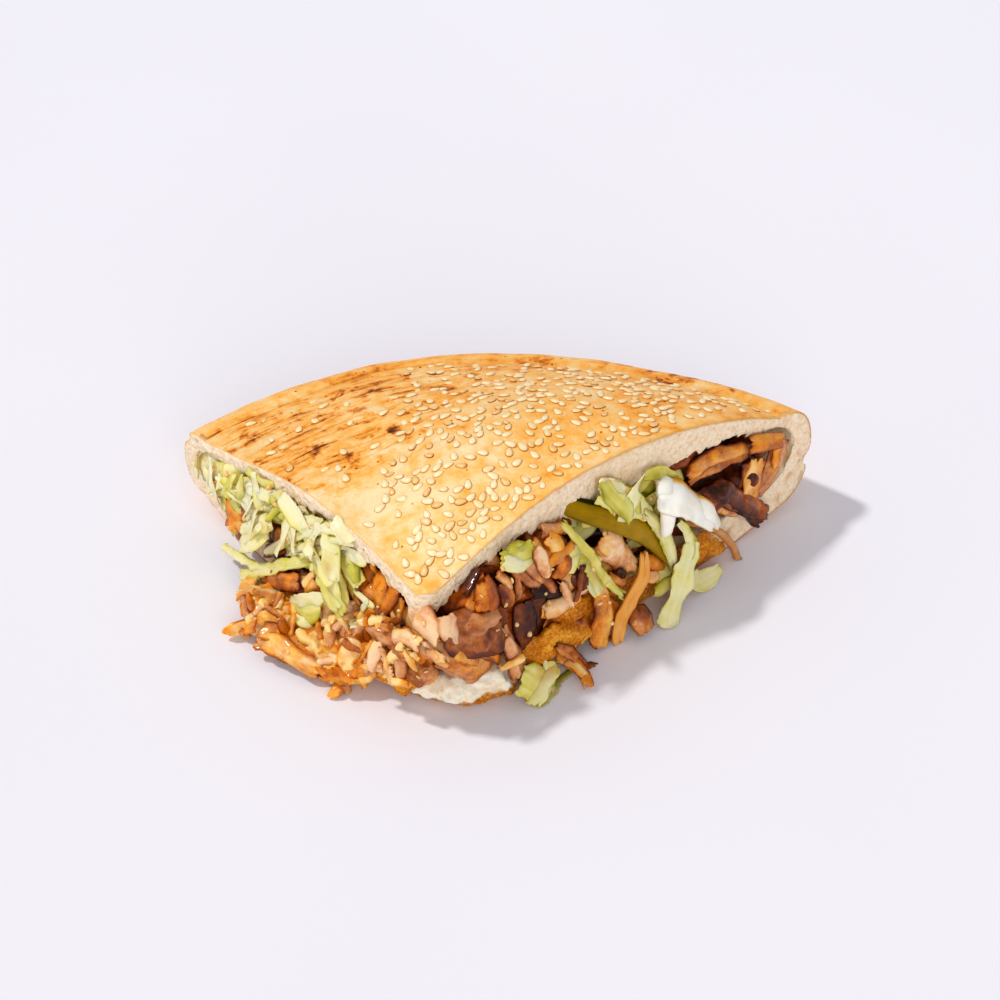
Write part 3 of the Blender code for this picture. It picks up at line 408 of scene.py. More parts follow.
# Leaves as the photograph shows them: node, cut side, places, width and tone.
SEEN_LEAVES = (
    ("cabbage_left", "left", ((229, 491, 4), (246, 484, 5), (267, 491, 4)), 6.0, 0.08),
    ("cabbage_left", "left", ((240, 498, 3), (252, 500, 3), (265, 494, 2)), 5.0, 0.70),
    ("cabbage_left", "left", ((289, 496, 3), (264, 500, 5), (252, 510, 7), (247, 521, 8)), 4.5, 0.14),
    ("cabbage_left", "left", ((269, 505, 4), (258, 516, 6), (253, 525, 7)), 4.0, 0.18),
    ("cabbage_left", "left", ((283, 501, 2), (290, 513, 4), (297, 525, 4)), 7.0, 0.62),
    ("cabbage_left", "left", ((295, 504, 1), (312, 514, 2), (323, 522, 2)), 6.0, 0.72),
    ("cabbage_left", "left", ((286, 531, 5), (310, 527, 7), (340, 531, 5)), 7.0, 0.10),
    ("cabbage_left", "left", ((287, 549, 7), (312, 550, 9), (346, 541, 6)), 6.5, 0.22),
    ("cabbage_left", "left", ((285, 543, 7), (303, 535, 9), (327, 530, 9), (348, 535, 6)), 4.2, 0.02),
    ("cabbage_left", "left", ((287, 532, 6), (300, 523, 7), (324, 520, 6)), 4.8, 0.10),
    ("cabbage_left", "left", ((288, 554, 8), (308, 545, 10), (334, 540, 9), (354, 546, 6)), 4.0, 0.08),
    ("cabbage_left", "left", ((300, 557, 9), (318, 552, 11), (340, 550, 8)), 4.0, 0.26),
    ("cabbage_left", "left", ((284, 519, 4), (291, 531, 7), (294, 547, 9)), 4.2, 0.30),
    ("cabbage_left", "left", ((316, 536, 6), (332, 541, 8), (351, 546, 5)), 5.0, 0.35),
    ("cabbage_left", "left", ((242, 531, 10), (258, 526, 11), (273, 524, 8)), 8.5, 0.26),
    ("cabbage_left", "left", ((242, 546, 11), (256, 541, 12), (267, 533, 10)), 7.0, 0.22),
    ("cabbage_left", "left", ((344, 554, 6), (351, 567, 8), (356, 583, 9)), 6.5, 0.58),
    ("cabbage_left", "left", ((343, 546, 5), (352, 556, 7), (367, 562, 5)), 5.5, 0.08),
    ("cabbage_left", "left", ((329, 549, 6), (336, 560, 8), (347, 563, 7)), 5.0, 0.18),
    ("cabbage_left", "left", ((222, 547, 12), (240, 557, 13), (260, 568, 13), (277, 566, 12)), 4.5, 0.24),
    ("cabbage_left", "left", ((320, 560, 9), (330, 582, 12), (342, 609, 14)), 11.0, 0.42),
    ("cabbage_corner", "left", ((198, 470, -3), (205, 462, 0), (220, 463, 0)), 9.0, 0.16),
    ("cabbage_corner", "left", ((207, 480, 2), (214, 470, 4), (230, 471, 3)), 7.5, 0.20),
    ("cabbage_corner", "left", ((208, 489, 3), (219, 481, 5), (233, 477, 4)), 6.5, 0.32),
    ("cabbage_corner", "left", ((221, 493, 4), (229, 486, 6), (237, 476, 5)), 5.0, 0.20),
    ("leaf_spill", "left", ((322, 607, 14), (308, 612, 16), (295, 607, 16)), 8.5, 0.50),
    ("leaf_spill", "left", ((325, 598, 13), (306, 600, 15), (291, 606, 15)), 6.5, 0.18),
    ("leaf_spill", "flat", ((295, 616, 13), (304, 622, 13), (313, 624, 12)), 4.5, 0.10),
    ("cabbage_right", "right", ((605, 494, 2), (625, 500, 4), (650, 514, 5)), 9.0, 0.20),
    ("cabbage_right", "right", ((632, 489, 4), (637, 500, 6), (641, 513, 6)), 5.0, 0.60),
    ("cabbage_right", "right", ((642, 479, 3), (660, 473, 3), (677, 479, 2)), 5.0, 0.70),
    ("cabbage_right", "right", ((644, 511, 6), (661, 527, 8), (671, 547, 9), (675, 567, 9)), 6.0, 0.26),
    ("cabbage_right", "right", ((679, 521, 8), (689, 537, 9), (687, 556, 10), (674, 575, 11)), 4.5, 0.28),
    ("cabbage_right", "right", ((676, 575, 9), (664, 588, 10), (654, 593, 10)), 5.5, 0.45),
    ("cabbage_right", "right", ((683, 579, 10), (699, 581, 11), (720, 567, 10)), 8.5, 0.16),
    ("cabbage_middle", "right", ((584, 545, 4), (574, 559, 6), (570, 573, 7)), 7.0, 0.24),
    ("cabbage_middle", "right", ((581, 565, 5), (588, 580, 7), (599, 597, 8)), 4.5, 0.18),
    ("cabbage_tip", "right", ((503, 561, 4), (517, 564, 5), (532, 556, 4)), 7.5, 0.12),
    ("cabbage_tip", "right", ((505, 551, 2), (514, 547, 3), (527, 543, 2)), 4.0, 0.75),
    ("cabbage_low", "flat", ((553, 663, 6), (543, 681, 5), (531, 706, 2)), 11.0, 0.16),
)
# Bread soaked with oil that shows between the meat, as cut side, places, width and thickness.
SOAKED_BREAD = (
    ("right", ((508, 666, 4), (534, 652, 7), (564, 634, 8), (600, 612, 5)), 12.0, 3.6),
    ("right", ((552, 628, 4), (576, 612, 6), (600, 600, 4)), 10.0, 3.6),
    ("right", ((678, 566, 2), (698, 551, 3), (722, 536, 1)), 10.0, 3.6),
    ("left", ((376, 652, 11), (392, 668, 11), (414, 689, 8)), 12.0, 4.0),
)
# The white sauce, as places, width, tone and how yellow its upper edge is.
SAUCE_TONGUES = (
    (((655, 494, 5), (680, 499, 9), (712, 516, 8)), 14.0, 0.02, 1.0),
    (((664, 497, 8), (668, 514, 10), (665, 535, 9)), 6.5, 0.0, 0.0),
    (((694, 503, 8), (706, 510, 9), (716, 526, 7)), 7.0, 0.12, 0.8),
    (((655, 487, 4), (668, 488, 6), (684, 490, 5)), 8.0, 0.05, 0.0),
)
# Parts of the picture that small scattered pieces leave open: pale tip, soaked bread, far crumb and cavity.
OPEN_PLACES = (
    (405, 662, 508, 718),
    (520, 604, 604, 664),
    (736, 440, 806, 536),
    (688, 526, 722, 574),
    (494, 588, 516, 640),
    (442, 608, 505, 664),
)

TAN_TONES = (-0.02, 0.04, 0.1, 0.15, 0.2, 0.26, 0.34, 0.48)
DARK_TONES = (0.06, 0.24, 0.4, 0.54, 0.64, 0.72, 0.8, 0.9)
CRUMB_TONES = (-0.2, -0.1, 0.0, 0.05, 0.12, 0.2)
GREEN_TONES = (-0.1, -0.05, 0.0, 0.08, 0.16, 0.3, 0.55)
SCRAP_TONES = (0.1, 0.3, 0.5)
SAUCE_SHARES = {"left": (0.0, 1.3), "right": (-0.1, 0.9)}
# Where small pieces fall on the cuts, as side, along, up and how steeply they fall.
LEFT_ZONES = (
    ("left", (-6, 100), (2, 40), (0.5, 1.1)),
    ("left", (0, 90), (2, 30), (0.9, 1.35)),
    ("left", (0, 70), (14, 44), (0.2, 0.7)),
)
RIGHT_ZONES = (
    ("right", (-4, 60), (14, 62), (0.0, 0.5)),
    ("right", (40, 150), (14, 66), (0.0, 0.5)),
)
# Boxes of the photograph (across and down) where shreds of meat and of cabbage lie thick.
SPILL_VIEW = (
    ("left", (242, 330), (592, 655), None),
    ("left", (318, 404), (600, 690), None),
    ("left", (372, 446), (590, 680), None),
)
RIGHT_VIEW = (
    ("right", (470, 560), (560, 640), None),
    ("right", (545, 640), (545, 625), None),
)
CABBAGE_VIEW = (
    ("left", (236, 300), (486, 552), None),
    ("left", (282, 362), (512, 566), None),
    ("left", (194, 238), (458, 494), None),
    ("right", (604, 684), (486, 540), None),
)
# Where the small pieces of each kind lie, as how many, the number for their draws and the zones.
LEFT_SHREDS = ((60, 31, LEFT_ZONES), (90, 41, SPILL_VIEW))
RIGHT_SHREDS = ((60, 32, RIGHT_ZONES), (34, 42, RIGHT_VIEW))
MORSELS = ((70, 33, LEFT_ZONES + SPILL_VIEW), (16, 34, RIGHT_ZONES))
CRUMBS = ((70, 38, SPILL_VIEW + CABBAGE_VIEW), (24, 39, RIGHT_VIEW))
FEW_SCRAPS = ((14, 35, LEFT_ZONES), (8, 36, RIGHT_ZONES))
THICK_SCRAPS = ((28, 37, CABBAGE_VIEW),)
TRIES = 12
# The numbers for the draws of the seeds' shapes, the lumps in the walls and the small pieces.
SEED_DRAWS = 77
WALL_DRAWS = 5
BITS_DRAWS = 21
FALL_FROM = 70.0
FALL_BACK = 30.0

# The soft studio lights: strength, spread in degrees, colour and the way toward the light.
LIGHTS = {
    "key": (1.3, 5, (1.0, 0.98, 0.94), (-0.54, 0.08, 0.84)),
    "fill": (0.92, 40, (1.0, 0.97, 0.92), (0.12, -0.9, 0.42)),
}
WORLD_COLOUR = (0.98, 0.97, 1.0, 1.0)
WORLD_STRENGTH = 0.42
FLOOR_SIZE = 60.0


def mix(low, high, amount):
    return low + (high - low) * amount


def smooth(low, high, value):
    share = np.clip((value - low) / (high - low), 0.0, 1.0)
    return share * share * (3 - 2 * share)


def unit(vectors):
    return vectors / np.maximum(np.linalg.norm(vectors, axis=-1, keepdims=True), 1e-9)


def lattice(cell, number):
    """A fixed random value from -1 to 1 for each whole-number place."""
    x, y, z = (cell[..., i].astype(np.uint32) for i in range(3))
    mixed = x * np.uint32(374761393) + y * np.uint32(668265263) + z * np.uint32(3266489917)
    mixed += np.uint32(number * 97 + 13) * np.uint32(2654435761)
    mixed = (mixed ^ (mixed >> np.uint32(13))) * np.uint32(1274126177)
    mixed = (mixed ^ (mixed >> np.uint32(16))) * np.uint32(2246822519)
    mixed = mixed ^ (mixed >> np.uint32(15))
    return (mixed & np.uint32(0xFFFFFF)).astype(np.float64) / 0x7FFFFF - 1.0


def noise(points, size, number=0):
    """Smooth noise from -1 to 1 at points, with features of the given size."""
    place = np.asarray(points, dtype=np.float64) / size + 4096.0
    cell = np.floor(place).astype(np.int64)
    share = place - cell
    share = share * share * (3 - 2 * share)
    total = np.zeros(place.shape[:-1])
    for dx in (0, 1):
        for dy in (0, 1):
            for dz in (0, 1):
                weight = (
                    (share[..., 0] if dx else 1 - share[..., 0])
                    * (share[..., 1] if dy else 1 - share[..., 1])
                    * (share[..., 2] if dz else 1 - share[..., 2])
                )
                total += weight * lattice(cell + np.array((dx, dy, dz)), number)
    return total


def rough_noise(points, size, octaves, number=0):
    """Noise with finer and fainter layers added."""
    total = 0.0
    strength = 1.0
    for octave in range(octaves):
        total = total + strength * noise(points, size / 2**octave, number + octave)
        strength *= 0.5
    return total


def pits(points, size, number=0):
    """Distance to the nearest of many random spots, in units of size, from 0 to about 1."""
    place = np.asarray(points, dtype=np.float64) / size + 4096.0
    cell = np.floor(place).astype(np.int64)
    nearest = np.full(place.shape[:-1], 9.0)
    for dx in (-1, 0, 1):
        for dy in (-1, 0, 1):
            for dz in (-1, 0, 1):
                other = cell + np.array((dx, dy, dz))
                spot = np.stack([lattice(other, number + k) * 0.5 + 0.5 for k in range(3)], axis=-1)
                gap = np.linalg.norm(other + spot - place, axis=-1)
                nearest = np.minimum(nearest, gap)
    return nearest


def curve(points, amounts):
    """A smooth curve through the points, at amounts from 0 to 1."""
    points = np.asarray(points, dtype=np.float64)
    spans = len(points) - 1
    place = np.clip(np.asarray(amounts) * spans, 0.0, spans - 1e-6)
    span = place.astype(int)
    share = (place - span)[..., None]
    before = points[np.maximum(span - 1, 0)]
    start = points[span]
    end = points[span + 1]
    after = points[np.minimum(span + 2, spans)]
    return 0.5 * (
        2 * start
        + (end - before) * share
        + (2 * before - 5 * start + 4 * end - after) * share**2
        + (3 * start - before - 3 * end + after) * share**3
    )


def plan_point(tip, right, left, reach, turn, swell):
    angle = turn * math.pi / 2
    skew = ARC_SKEW * np.sin(2 * angle) * -np.cos(2 * angle)
    scale = reach * (1 + swell * np.sin(2 * angle) + skew * reach)
    first = (scale * np.cos(angle))[..., None]
    second = (scale * np.sin(angle))[..., None]
    return tip + (right - tip) * first + (left - tip) * second


def rounded_tip(reach, turn, depth):
    out = (1 - smooth(0.0, 0.2, reach)) * np.sin(math.pi * turn)
    return np.array((0.0, -depth)) * out[..., None]


def bottom_plan(reach, turn):
    point = plan_point(BOTTOM_TIP, BOTTOM_RIGHT, BOTTOM_LEFT, reach, turn, ARC_SWELL_BOTTOM)
    bulge = np.maximum(np.sin(math.pi * np.minimum(reach, 1.0)), 0.0) ** 0.7
    point = point + OUT["right"][:2] * (BOTTOM_SWELL_RIGHT * bulge * (1 - turn) ** 4)[..., None]
    point = point + OUT["left"][:2] * (BOTTOM_SWELL_LEFT * bulge * turn**4)[..., None]
    return point + rounded_tip(reach, turn, TIP_ROUNDING_BOTTOM)


def top_plan(reach, turn):
    point = plan_point(TOP_TIP, TOP_RIGHT, TOP_LEFT, reach, turn, ARC_SWELL_TOP)
    return point + rounded_tip(reach, turn, TIP_ROUNDING_TOP)


def crust_height(reach, turn):
    rim = mix(RIM_HEIGHT_RIGHT, RIM_HEIGHT_LEFT, turn)
    rim = rim - RIM_SAG * np.sin(math.pi * np.minimum(1.4 * turn, 1))
    dome = mix(DOME_RIGHT, DOME_LEFT, smooth(0.35, 1.0, turn))
    shape = np.sin(math.pi * np.maximum(reach, 0.0) ** mix(0.95, 0.8, turn))
    wave = np.sin(reach * 9 + turn * 4) * np.sin(turn * 7 + 1) * CRUST_WAVE
    return mix(TIP_HEIGHT, rim, reach) + dome * shape + wave * np.sin(math.pi * reach)


def top_thickness(reach, turn):
    spread = (reach - TOP_CRUMB_REACH) / TOP_CRUMB_SPREAD
    return TOP_THICKNESS + TOP_CRUMB_SWELL * np.exp(-spread * spread) * (1 - smooth(0.0, 0.8, turn))


def bottom_lift(reach, turn):
    corner = turn**5 + 0.5 * (1 - turn) ** 8
    return CORNER_LIFT * corner * smooth(0.72, 1.0, reach)


def bottom_thickness(reach, turn):
    thickness = mix(BOTTOM_THICKNESS_RIGHT, BOTTOM_THICKNESS_LEFT, turn)
    return thickness * mix(0.82, 1.0, smooth(0.0, 0.25, reach))


def standing(plan, height):
    """Plan points with their heights, as points of space."""
    return np.concatenate([plan, height[..., None]], axis=-1)


def bread_point(layer, amount, turn, inside):
    """The skin or the crumb side of the bread, with the reach there. Amount runs 0 to 1 along the layer."""
    if layer == "bottom":
        reach = mix(FIRST_REACH_BOTTOM, HINGE_REACH if inside else RIM_REACH, amount)
        height = bottom_thickness(reach, turn) if inside else bottom_lift(reach, turn)
        return standing(bottom_plan(reach, turn), height), reach
    if layer == "top":
        reach = mix(HINGE_REACH if inside else RIM_REACH, FIRST_REACH_TOP, amount)
        height = crust_height(reach, turn)
        if inside:
            height = height - top_thickness(reach, turn)
        return standing(top_plan(reach, turn), height), reach
    angle = mix(-math.pi / 2, math.pi / 2, amount)
    round_share = np.maximum(np.cos(angle), 0.0)
    if inside:
        edge = np.full_like(angle, HINGE_REACH)
        low = bottom_thickness(edge, turn)
        high = crust_height(edge, turn) - top_thickness(edge, turn)
        reach = mix(HINGE_REACH, HINGE_END, round_share)
        height = (low + high) / 2 + (high - low) / 2 * np.sin(angle)
    else:
        edge = np.full_like(angle, RIM_REACH)
        reach = RIM_REACH + (1 - RIM_REACH) * round_share**0.7
        for side, place, spread, depth in RIM_NOTCHES:
            gap = ((amount - place) / spread) ** 2 + ((side - turn) / spread) ** 2
            reach = reach - depth * np.exp(-gap)
        middle = mix(RIM_MIDDLE_RIGHT, RIM_MIDDLE_LEFT, turn)
        upper = crust_height(edge, turn) - middle
        lower = middle - bottom_lift(edge, turn)
        height = middle + np.where(angle > 0, upper, lower) * np.sin(angle)
    share = amount[..., None]
    plan = bottom_plan(reach, turn) * (1 - share) + top_plan(reach, turn) * share
    return standing(plan, height), reach


def bread_rows(steps, turn, inside):
    """Points and reaches for each station of steps at each turn."""
    rows = [bread_point(layer, np.full_like(turn, amount), turn, inside) for layer, amount in steps]
    return np.stack([row[0] for row in rows]), np.stack([row[1] for row in rows])


def crust_over(plan):
    """Reach and turn of the top crust over plan points."""
    across = np.array([TOP_RIGHT - TOP_TIP, TOP_LEFT - TOP_TIP]).T
    shares = (plan - TOP_TIP) @ np.linalg.inv(across).T
    angle = np.arctan2(shares[..., 1], shares[..., 0])
    scale = np.linalg.norm(shares, axis=-1)
    skew = ARC_SKEW * np.sin(2 * angle) * -np.cos(2 * angle)
    reach = scale
    for _ in range(4):
        reach = scale / (1 + ARC_SWELL_TOP * np.sin(2 * angle) + skew * reach)
    return reach, angle * 2 / math.pi


def under_crust(points):
    """Points of the filling, kept below the top crust and above the floor."""
    reach, turn = crust_over(points[..., :2])
    inside = (reach > 0.02) & (reach < 0.97) & (turn > 0.0) & (turn < 1.0)
    roof = crust_height(np.clip(reach, 0, 1), np.clip(turn, 0, 1)) - 2.5
    points = points.copy()
    points[..., 2] = np.where(inside, np.minimum(points[..., 2], roof), points[..., 2])
    low = points[..., 2] < 1.5
    eased = 0.4 + 1.1 * np.exp((np.minimum(points[..., 2], 1.5) - 1.5) / 1.1)
    points[..., 2] = np.where(low, eased, points[..., 2])
    return points


def cut_point(side, place):
    """A point of the filling from its place by a cut: along it, up, and out of it."""
    along, up, out = place
    plan = CUT_TIP + unit(CUT_ENDS[side] - CUT_TIP) * along + unit(OUT[side][:2]) * out
    return np.array((plan[0], plan[1], up))


def seen(side, place):
    """The point seen at a place of the photograph, this deep out of a cut, or this high if it lies flat."""
    across, down, depth = place
    ray = np.array((across - PICTURE / 2, 0.0, 0.0)) - VIEW_UP * (down - PICTURE / 2) - VIEW_BACK * FOCAL
    flat = side == "flat"
    normal = np.array((0.0, 0.0, 1.0)) if flat else OUT[side]
    anchor = normal * depth + (0.0 if flat else np.append(CUT_TIP, 0.0))
    return EYE + ray * ((anchor - EYE) @ normal / (ray @ normal))


def picture_place(point):
    """Where the camera sees a point, in pixels across and down."""
    away = np.asarray(point) - EYE
    scale = FOCAL / -(away @ VIEW_BACK)
    return PICTURE / 2 + scale * away[0], PICTURE / 2 - scale * (away @ VIEW_UP)


def facing_of(side, lean=0.55):
    """The way that a piece on a cut, or one that lies flat, faces."""
    return unit(np.array((0.0, -0.35, 1.0)) if side == "flat" else OUT[side] + np.array((0, 0, lean)))


class Heap:
    """Many closed bodies gathered into one mesh, with named values for each point."""

    def __init__(self):
        self.points = []
        self.faces = []
        self.values = {}
        self.count = 0

    def add(self, points, faces, **values):
        """Add a closed body, its faces turned outward. A value is one number or one for each point."""
        points = points.reshape(-1, 3)
        corners = points[faces]
        volume = np.einsum("ij,ij->i", corners[:, 0], np.cross(corners[:, 1], corners[:, 2])).sum()
        if volume < 0:
            faces = faces[:, ::-1]
        self.points.append(points)
        self.faces.append(faces + self.count)
        self.count += len(points)
        for name, value in values.items():
            value = np.full(len(points), value) if np.isscalar(value) else value
            self.values.setdefault(name, []).append(value.reshape(len(points), -1))

    def make(self, name, material, node, crease=None):
        """The finished piece, riding on the object in place of its CAD node. Turns over crease stay sharp."""
        faces = [face for group in self.faces for face in group.tolist()]
        mesh = bpy.data.meshes.new(name)
        mesh.from_pydata((np.concatenate(self.points) * MM).tolist(), [], faces)
        for key, value in self.values.items():
            data = np.concatenate(value)
            kind, field = ("FLOAT", "value") if data.shape[1] == 1 else ("FLOAT_VECTOR", "vector")
            mesh.attributes.new(key, kind, "POINT").data.foreach_set(field, data.ravel())
        mesh.materials.append(material)
        mesh.shade_smooth()
        if crease is not None:
            mesh.set_sharp_from_angle(angle=math.radians(crease))
        obj = bpy.data.objects.new(name, mesh)
        bpy.context.scene.collection.objects.link(obj)
        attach(obj, "root")
        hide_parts(node)
        return obj


def surface_of(heaps):
    """One search tree over the faces of several heaps, in millimetres."""
    points, faces, start = [], [], 0
    for heap in heaps:
        points += np.concatenate(heap.points).tolist()
        faces += [[corner + start for corner in face] for group in heap.faces for face in group.tolist()]
        start = len(points)
    return BVHTree.FromPolygons(points, faces)


def quads(grid):
    """The faces between the rows and columns of a grid of point numbers."""
    return np.stack([grid[:-1, :-1], grid[1:, :-1], grid[1:, 1:], grid[:-1, 1:]], axis=-1).reshape(-1, 4)


def sheet_faces(rows, columns):
    """The faces of a closed sheet: front and back grids of points, joined round the border."""
    front = np.arange((rows + 1) * (columns + 1)).reshape(rows + 1, columns + 1)
    border = np.concatenate([front[0, :], front[1:, -1], front[-1, -2::-1], front[-2:0:-1, 0]])
    after = np.roll(border, -1)
    edge = np.stack([border, after, after + front.size, border + front.size], axis=-1)
    return np.concatenate([quads(front), quads(front + front.size)[:, ::-1], edge])


def ball_template(level):
    ball = bmesh.new()
    bmesh.ops.create_icosphere(ball, subdivisions=level, radius=1.0)
    ball.verts.ensure_lookup_table()
    points = np.array([v.co[:] for v in ball.verts])
    faces = np.array([[v.index for v in f.verts] for f in ball.faces])
    ball.free()
    return points, faces


BALLS = {level: ball_template(level) for level in (2, 3, 4)}


def sheet(heap, bends, width, thick, facing, number, cup=0.0, tone=0.5, step=1.0, ragged=0.18, ruffle=0.0,
          twist=0.3, relief=0.3, fibres=0.25, edge_tone=0.2, taper=0.5, curl=0.0, lean_tone=0.0, skin=0.0,
          warm=0.6, fray=0.0):
    """A slice, shred or leaf: a thin bent closed sheet with uneven edges."""
    bends = np.asarray(bends, dtype=np.float64)
    length = np.linalg.norm(np.diff(bends, axis=0), axis=1).sum()
    rows = int(np.clip(length / step, 8, 64))
    columns = int(np.clip(width / step, 4, 16))
    along, across = np.meshgrid(np.linspace(0, 1, rows + 1), np.linspace(-1, 1, columns + 1), indexing="ij")
    pick = random.Random(number)
    shift = np.array([pick.uniform(-500, 500) for _ in range(3)])

    def wander(position, size, key):
        """Noise along the sheet, different for each key."""
        place = np.stack([position * length, np.zeros_like(position) + key * 31, np.zeros_like(position)], -1)
        return rough_noise(place + shift, size, 2, key)

    torn = 0.07 * wander(across * width / length, width * 0.3, 5) * ragged / 0.18
    amount = np.clip(along + torn * (2 * along - 1), 0, 1)
    centre = curve(bends, amount)
    ahead = unit(curve(bends, np.minimum(amount + 0.04, 1)) - curve(bends, np.maximum(amount - 0.04, 0)))
    aside = unit(np.cross(facing, ahead))
    normal = np.cross(ahead, aside)
    swing = twist * wander(along, length * 0.7, 1)[..., None]
    cos, sin = np.cos(swing), np.sin(swing)
    aside, normal = aside * cos + normal * sin, normal * cos - aside * sin
    body = (1 - taper) + taper * np.sin(math.pi * mix(0.08, 0.92, along)) ** 0.8
    left_edge, right_edge = (1 + ragged * wander(along, 4.0 + width * 0.25, key) for key in (2, 3))
    half = width / 2 * body * np.where(across < 0, left_edge, right_edge)
    half = half + fray * wander(along + 0.5 * np.sign(across), 1.6, 12) * np.abs(across) ** 2
    offset = across * half
    lift = cup * (1 - across**2)
    lift = lift + ruffle * np.abs(across) ** 1.5 * wander(along + 0.3 * np.sign(across), 5.0, 4)
    lift = lift + curl * np.abs(across) ** 2.2 * half
    grain = np.stack([along * length + shift[0], offset + shift[1], np.full_like(along, shift[2])], -1)
    place = centre + aside * offset[..., None]
    lift = lift + relief * rough_noise(place + shift, 5.5, 2, 6)
    ridges = fibres * noise(grain * np.array((0.12, 1.0, 1.0)), 0.9, 7)
    depth = thick / 2 * (0.35 + 0.65 * np.sqrt(np.clip(1 - across**2 * 0.96, 0, 1)))
    depth = depth * (1 + 0.3 * noise(place + shift, 4.0, 8))
    ends = np.minimum(1, 0.35 + 6 * np.minimum(along, 1 - along))
    front = place + normal * (lift + depth * ends + ridges)[..., None]
    back = place + normal * (lift - depth * ends + 0.6 * ridges)[..., None]
    points = under_crust(np.concatenate([front.reshape(-1, 3), back.reshape(-1, 3)]))
    worn = np.maximum(np.abs(across) ** 7, np.abs(2 * along - 1) ** 16)
    shade = tone + edge_tone * worn + 0.12 * rough_noise(place + shift, 6.0, 2, 9)
    shade = shade + lean_tone * across + skin * smooth(0.45, 0.75, across)
    shades = np.concatenate([shade.ravel()] * 2)
    grains = np.concatenate([grain.reshape(-1, 3), grain.reshape(-1, 3) + np.array((0, 0, 3.0))])
    heap.add(points, sheet_faces(rows, columns), tone=shades, grain=grains, warm=warm)


def lump(heap, middle, size, yaw, number, tone=0.5, level=3, tilt=0.35, sharp=60, relief=0.08, warm=0.6):
    """A chopped lump: a ball cut to rough facets, some paler and some seared, its grain along its length."""
    directions, faces = BALLS[level]
    pick = random.Random(number + 1000)
    planes = unit(np.array([[pick.gauss(0, 1) for _ in range(3)] for _ in range(LUMP_SIDES)]))
    depths = np.array([pick.uniform(0.62, 1.1) for _ in range(LUMP_SIDES)])
    powers = (np.maximum(directions @ planes.T, 0.0) / depths) ** sharp
    total = np.maximum(powers.sum(axis=1, keepdims=True), 1e-9)
    small = min(size)
    shift = np.array([pick.uniform(-500, 500) for _ in range(3)])
    local = directions * np.clip(1 / total ** (1 / sharp), 0.45, 1.25) * np.asarray(size) / 2
    local = local + directions * (relief * small * rough_noise(local + shift, small * 0.5, 3, 3))[:, None]
    local = local * np.where(noise(local + shift, small * 0.8, 9) > 0.25, 0.88, 1.0)[:, None]
    ridged = 1 - np.abs(rough_noise((local + shift) * np.array((0.14, 1.0, 1.0)), 2.2, 2, 4))
    local = local + directions * (0.3 * (ridged - 0.7) * min(1.0, small / 9))[:, None]
    pitch = pick.uniform(-tilt, tilt)
    roll = pick.uniform(-math.pi, math.pi) * tilt
    turned = local
    for axis, angle in (("Y", pitch), ("X", roll), ("Z", yaw)):
        turned = turned @ turn_matrix(axis, angle).T
    sides = np.array([pick.choice(LUMP_SEAR) for _ in planes])
    shade = tone + 0.16 * (powers / total @ sides) + 0.10 * rough_noise(local + shift, 4.0, 2, 5)
    heap.add(under_crust(np.asarray(middle) + turned), faces, tone=shade, grain=local + shift, warm=warm)


def turn_matrix(axis, angle):
    cos, sin = math.cos(angle), math.sin(angle)
    if axis == "X":
        return np.array(((1, 0, 0), (0, cos, -sin), (0, sin, cos)))
    if axis == "Y":
        return np.array(((cos, 0, sin), (0, 1, 0), (-sin, 0, cos)))
    return np.array(((cos, -sin, 0), (sin, cos, 0), (0, 0, 1)))


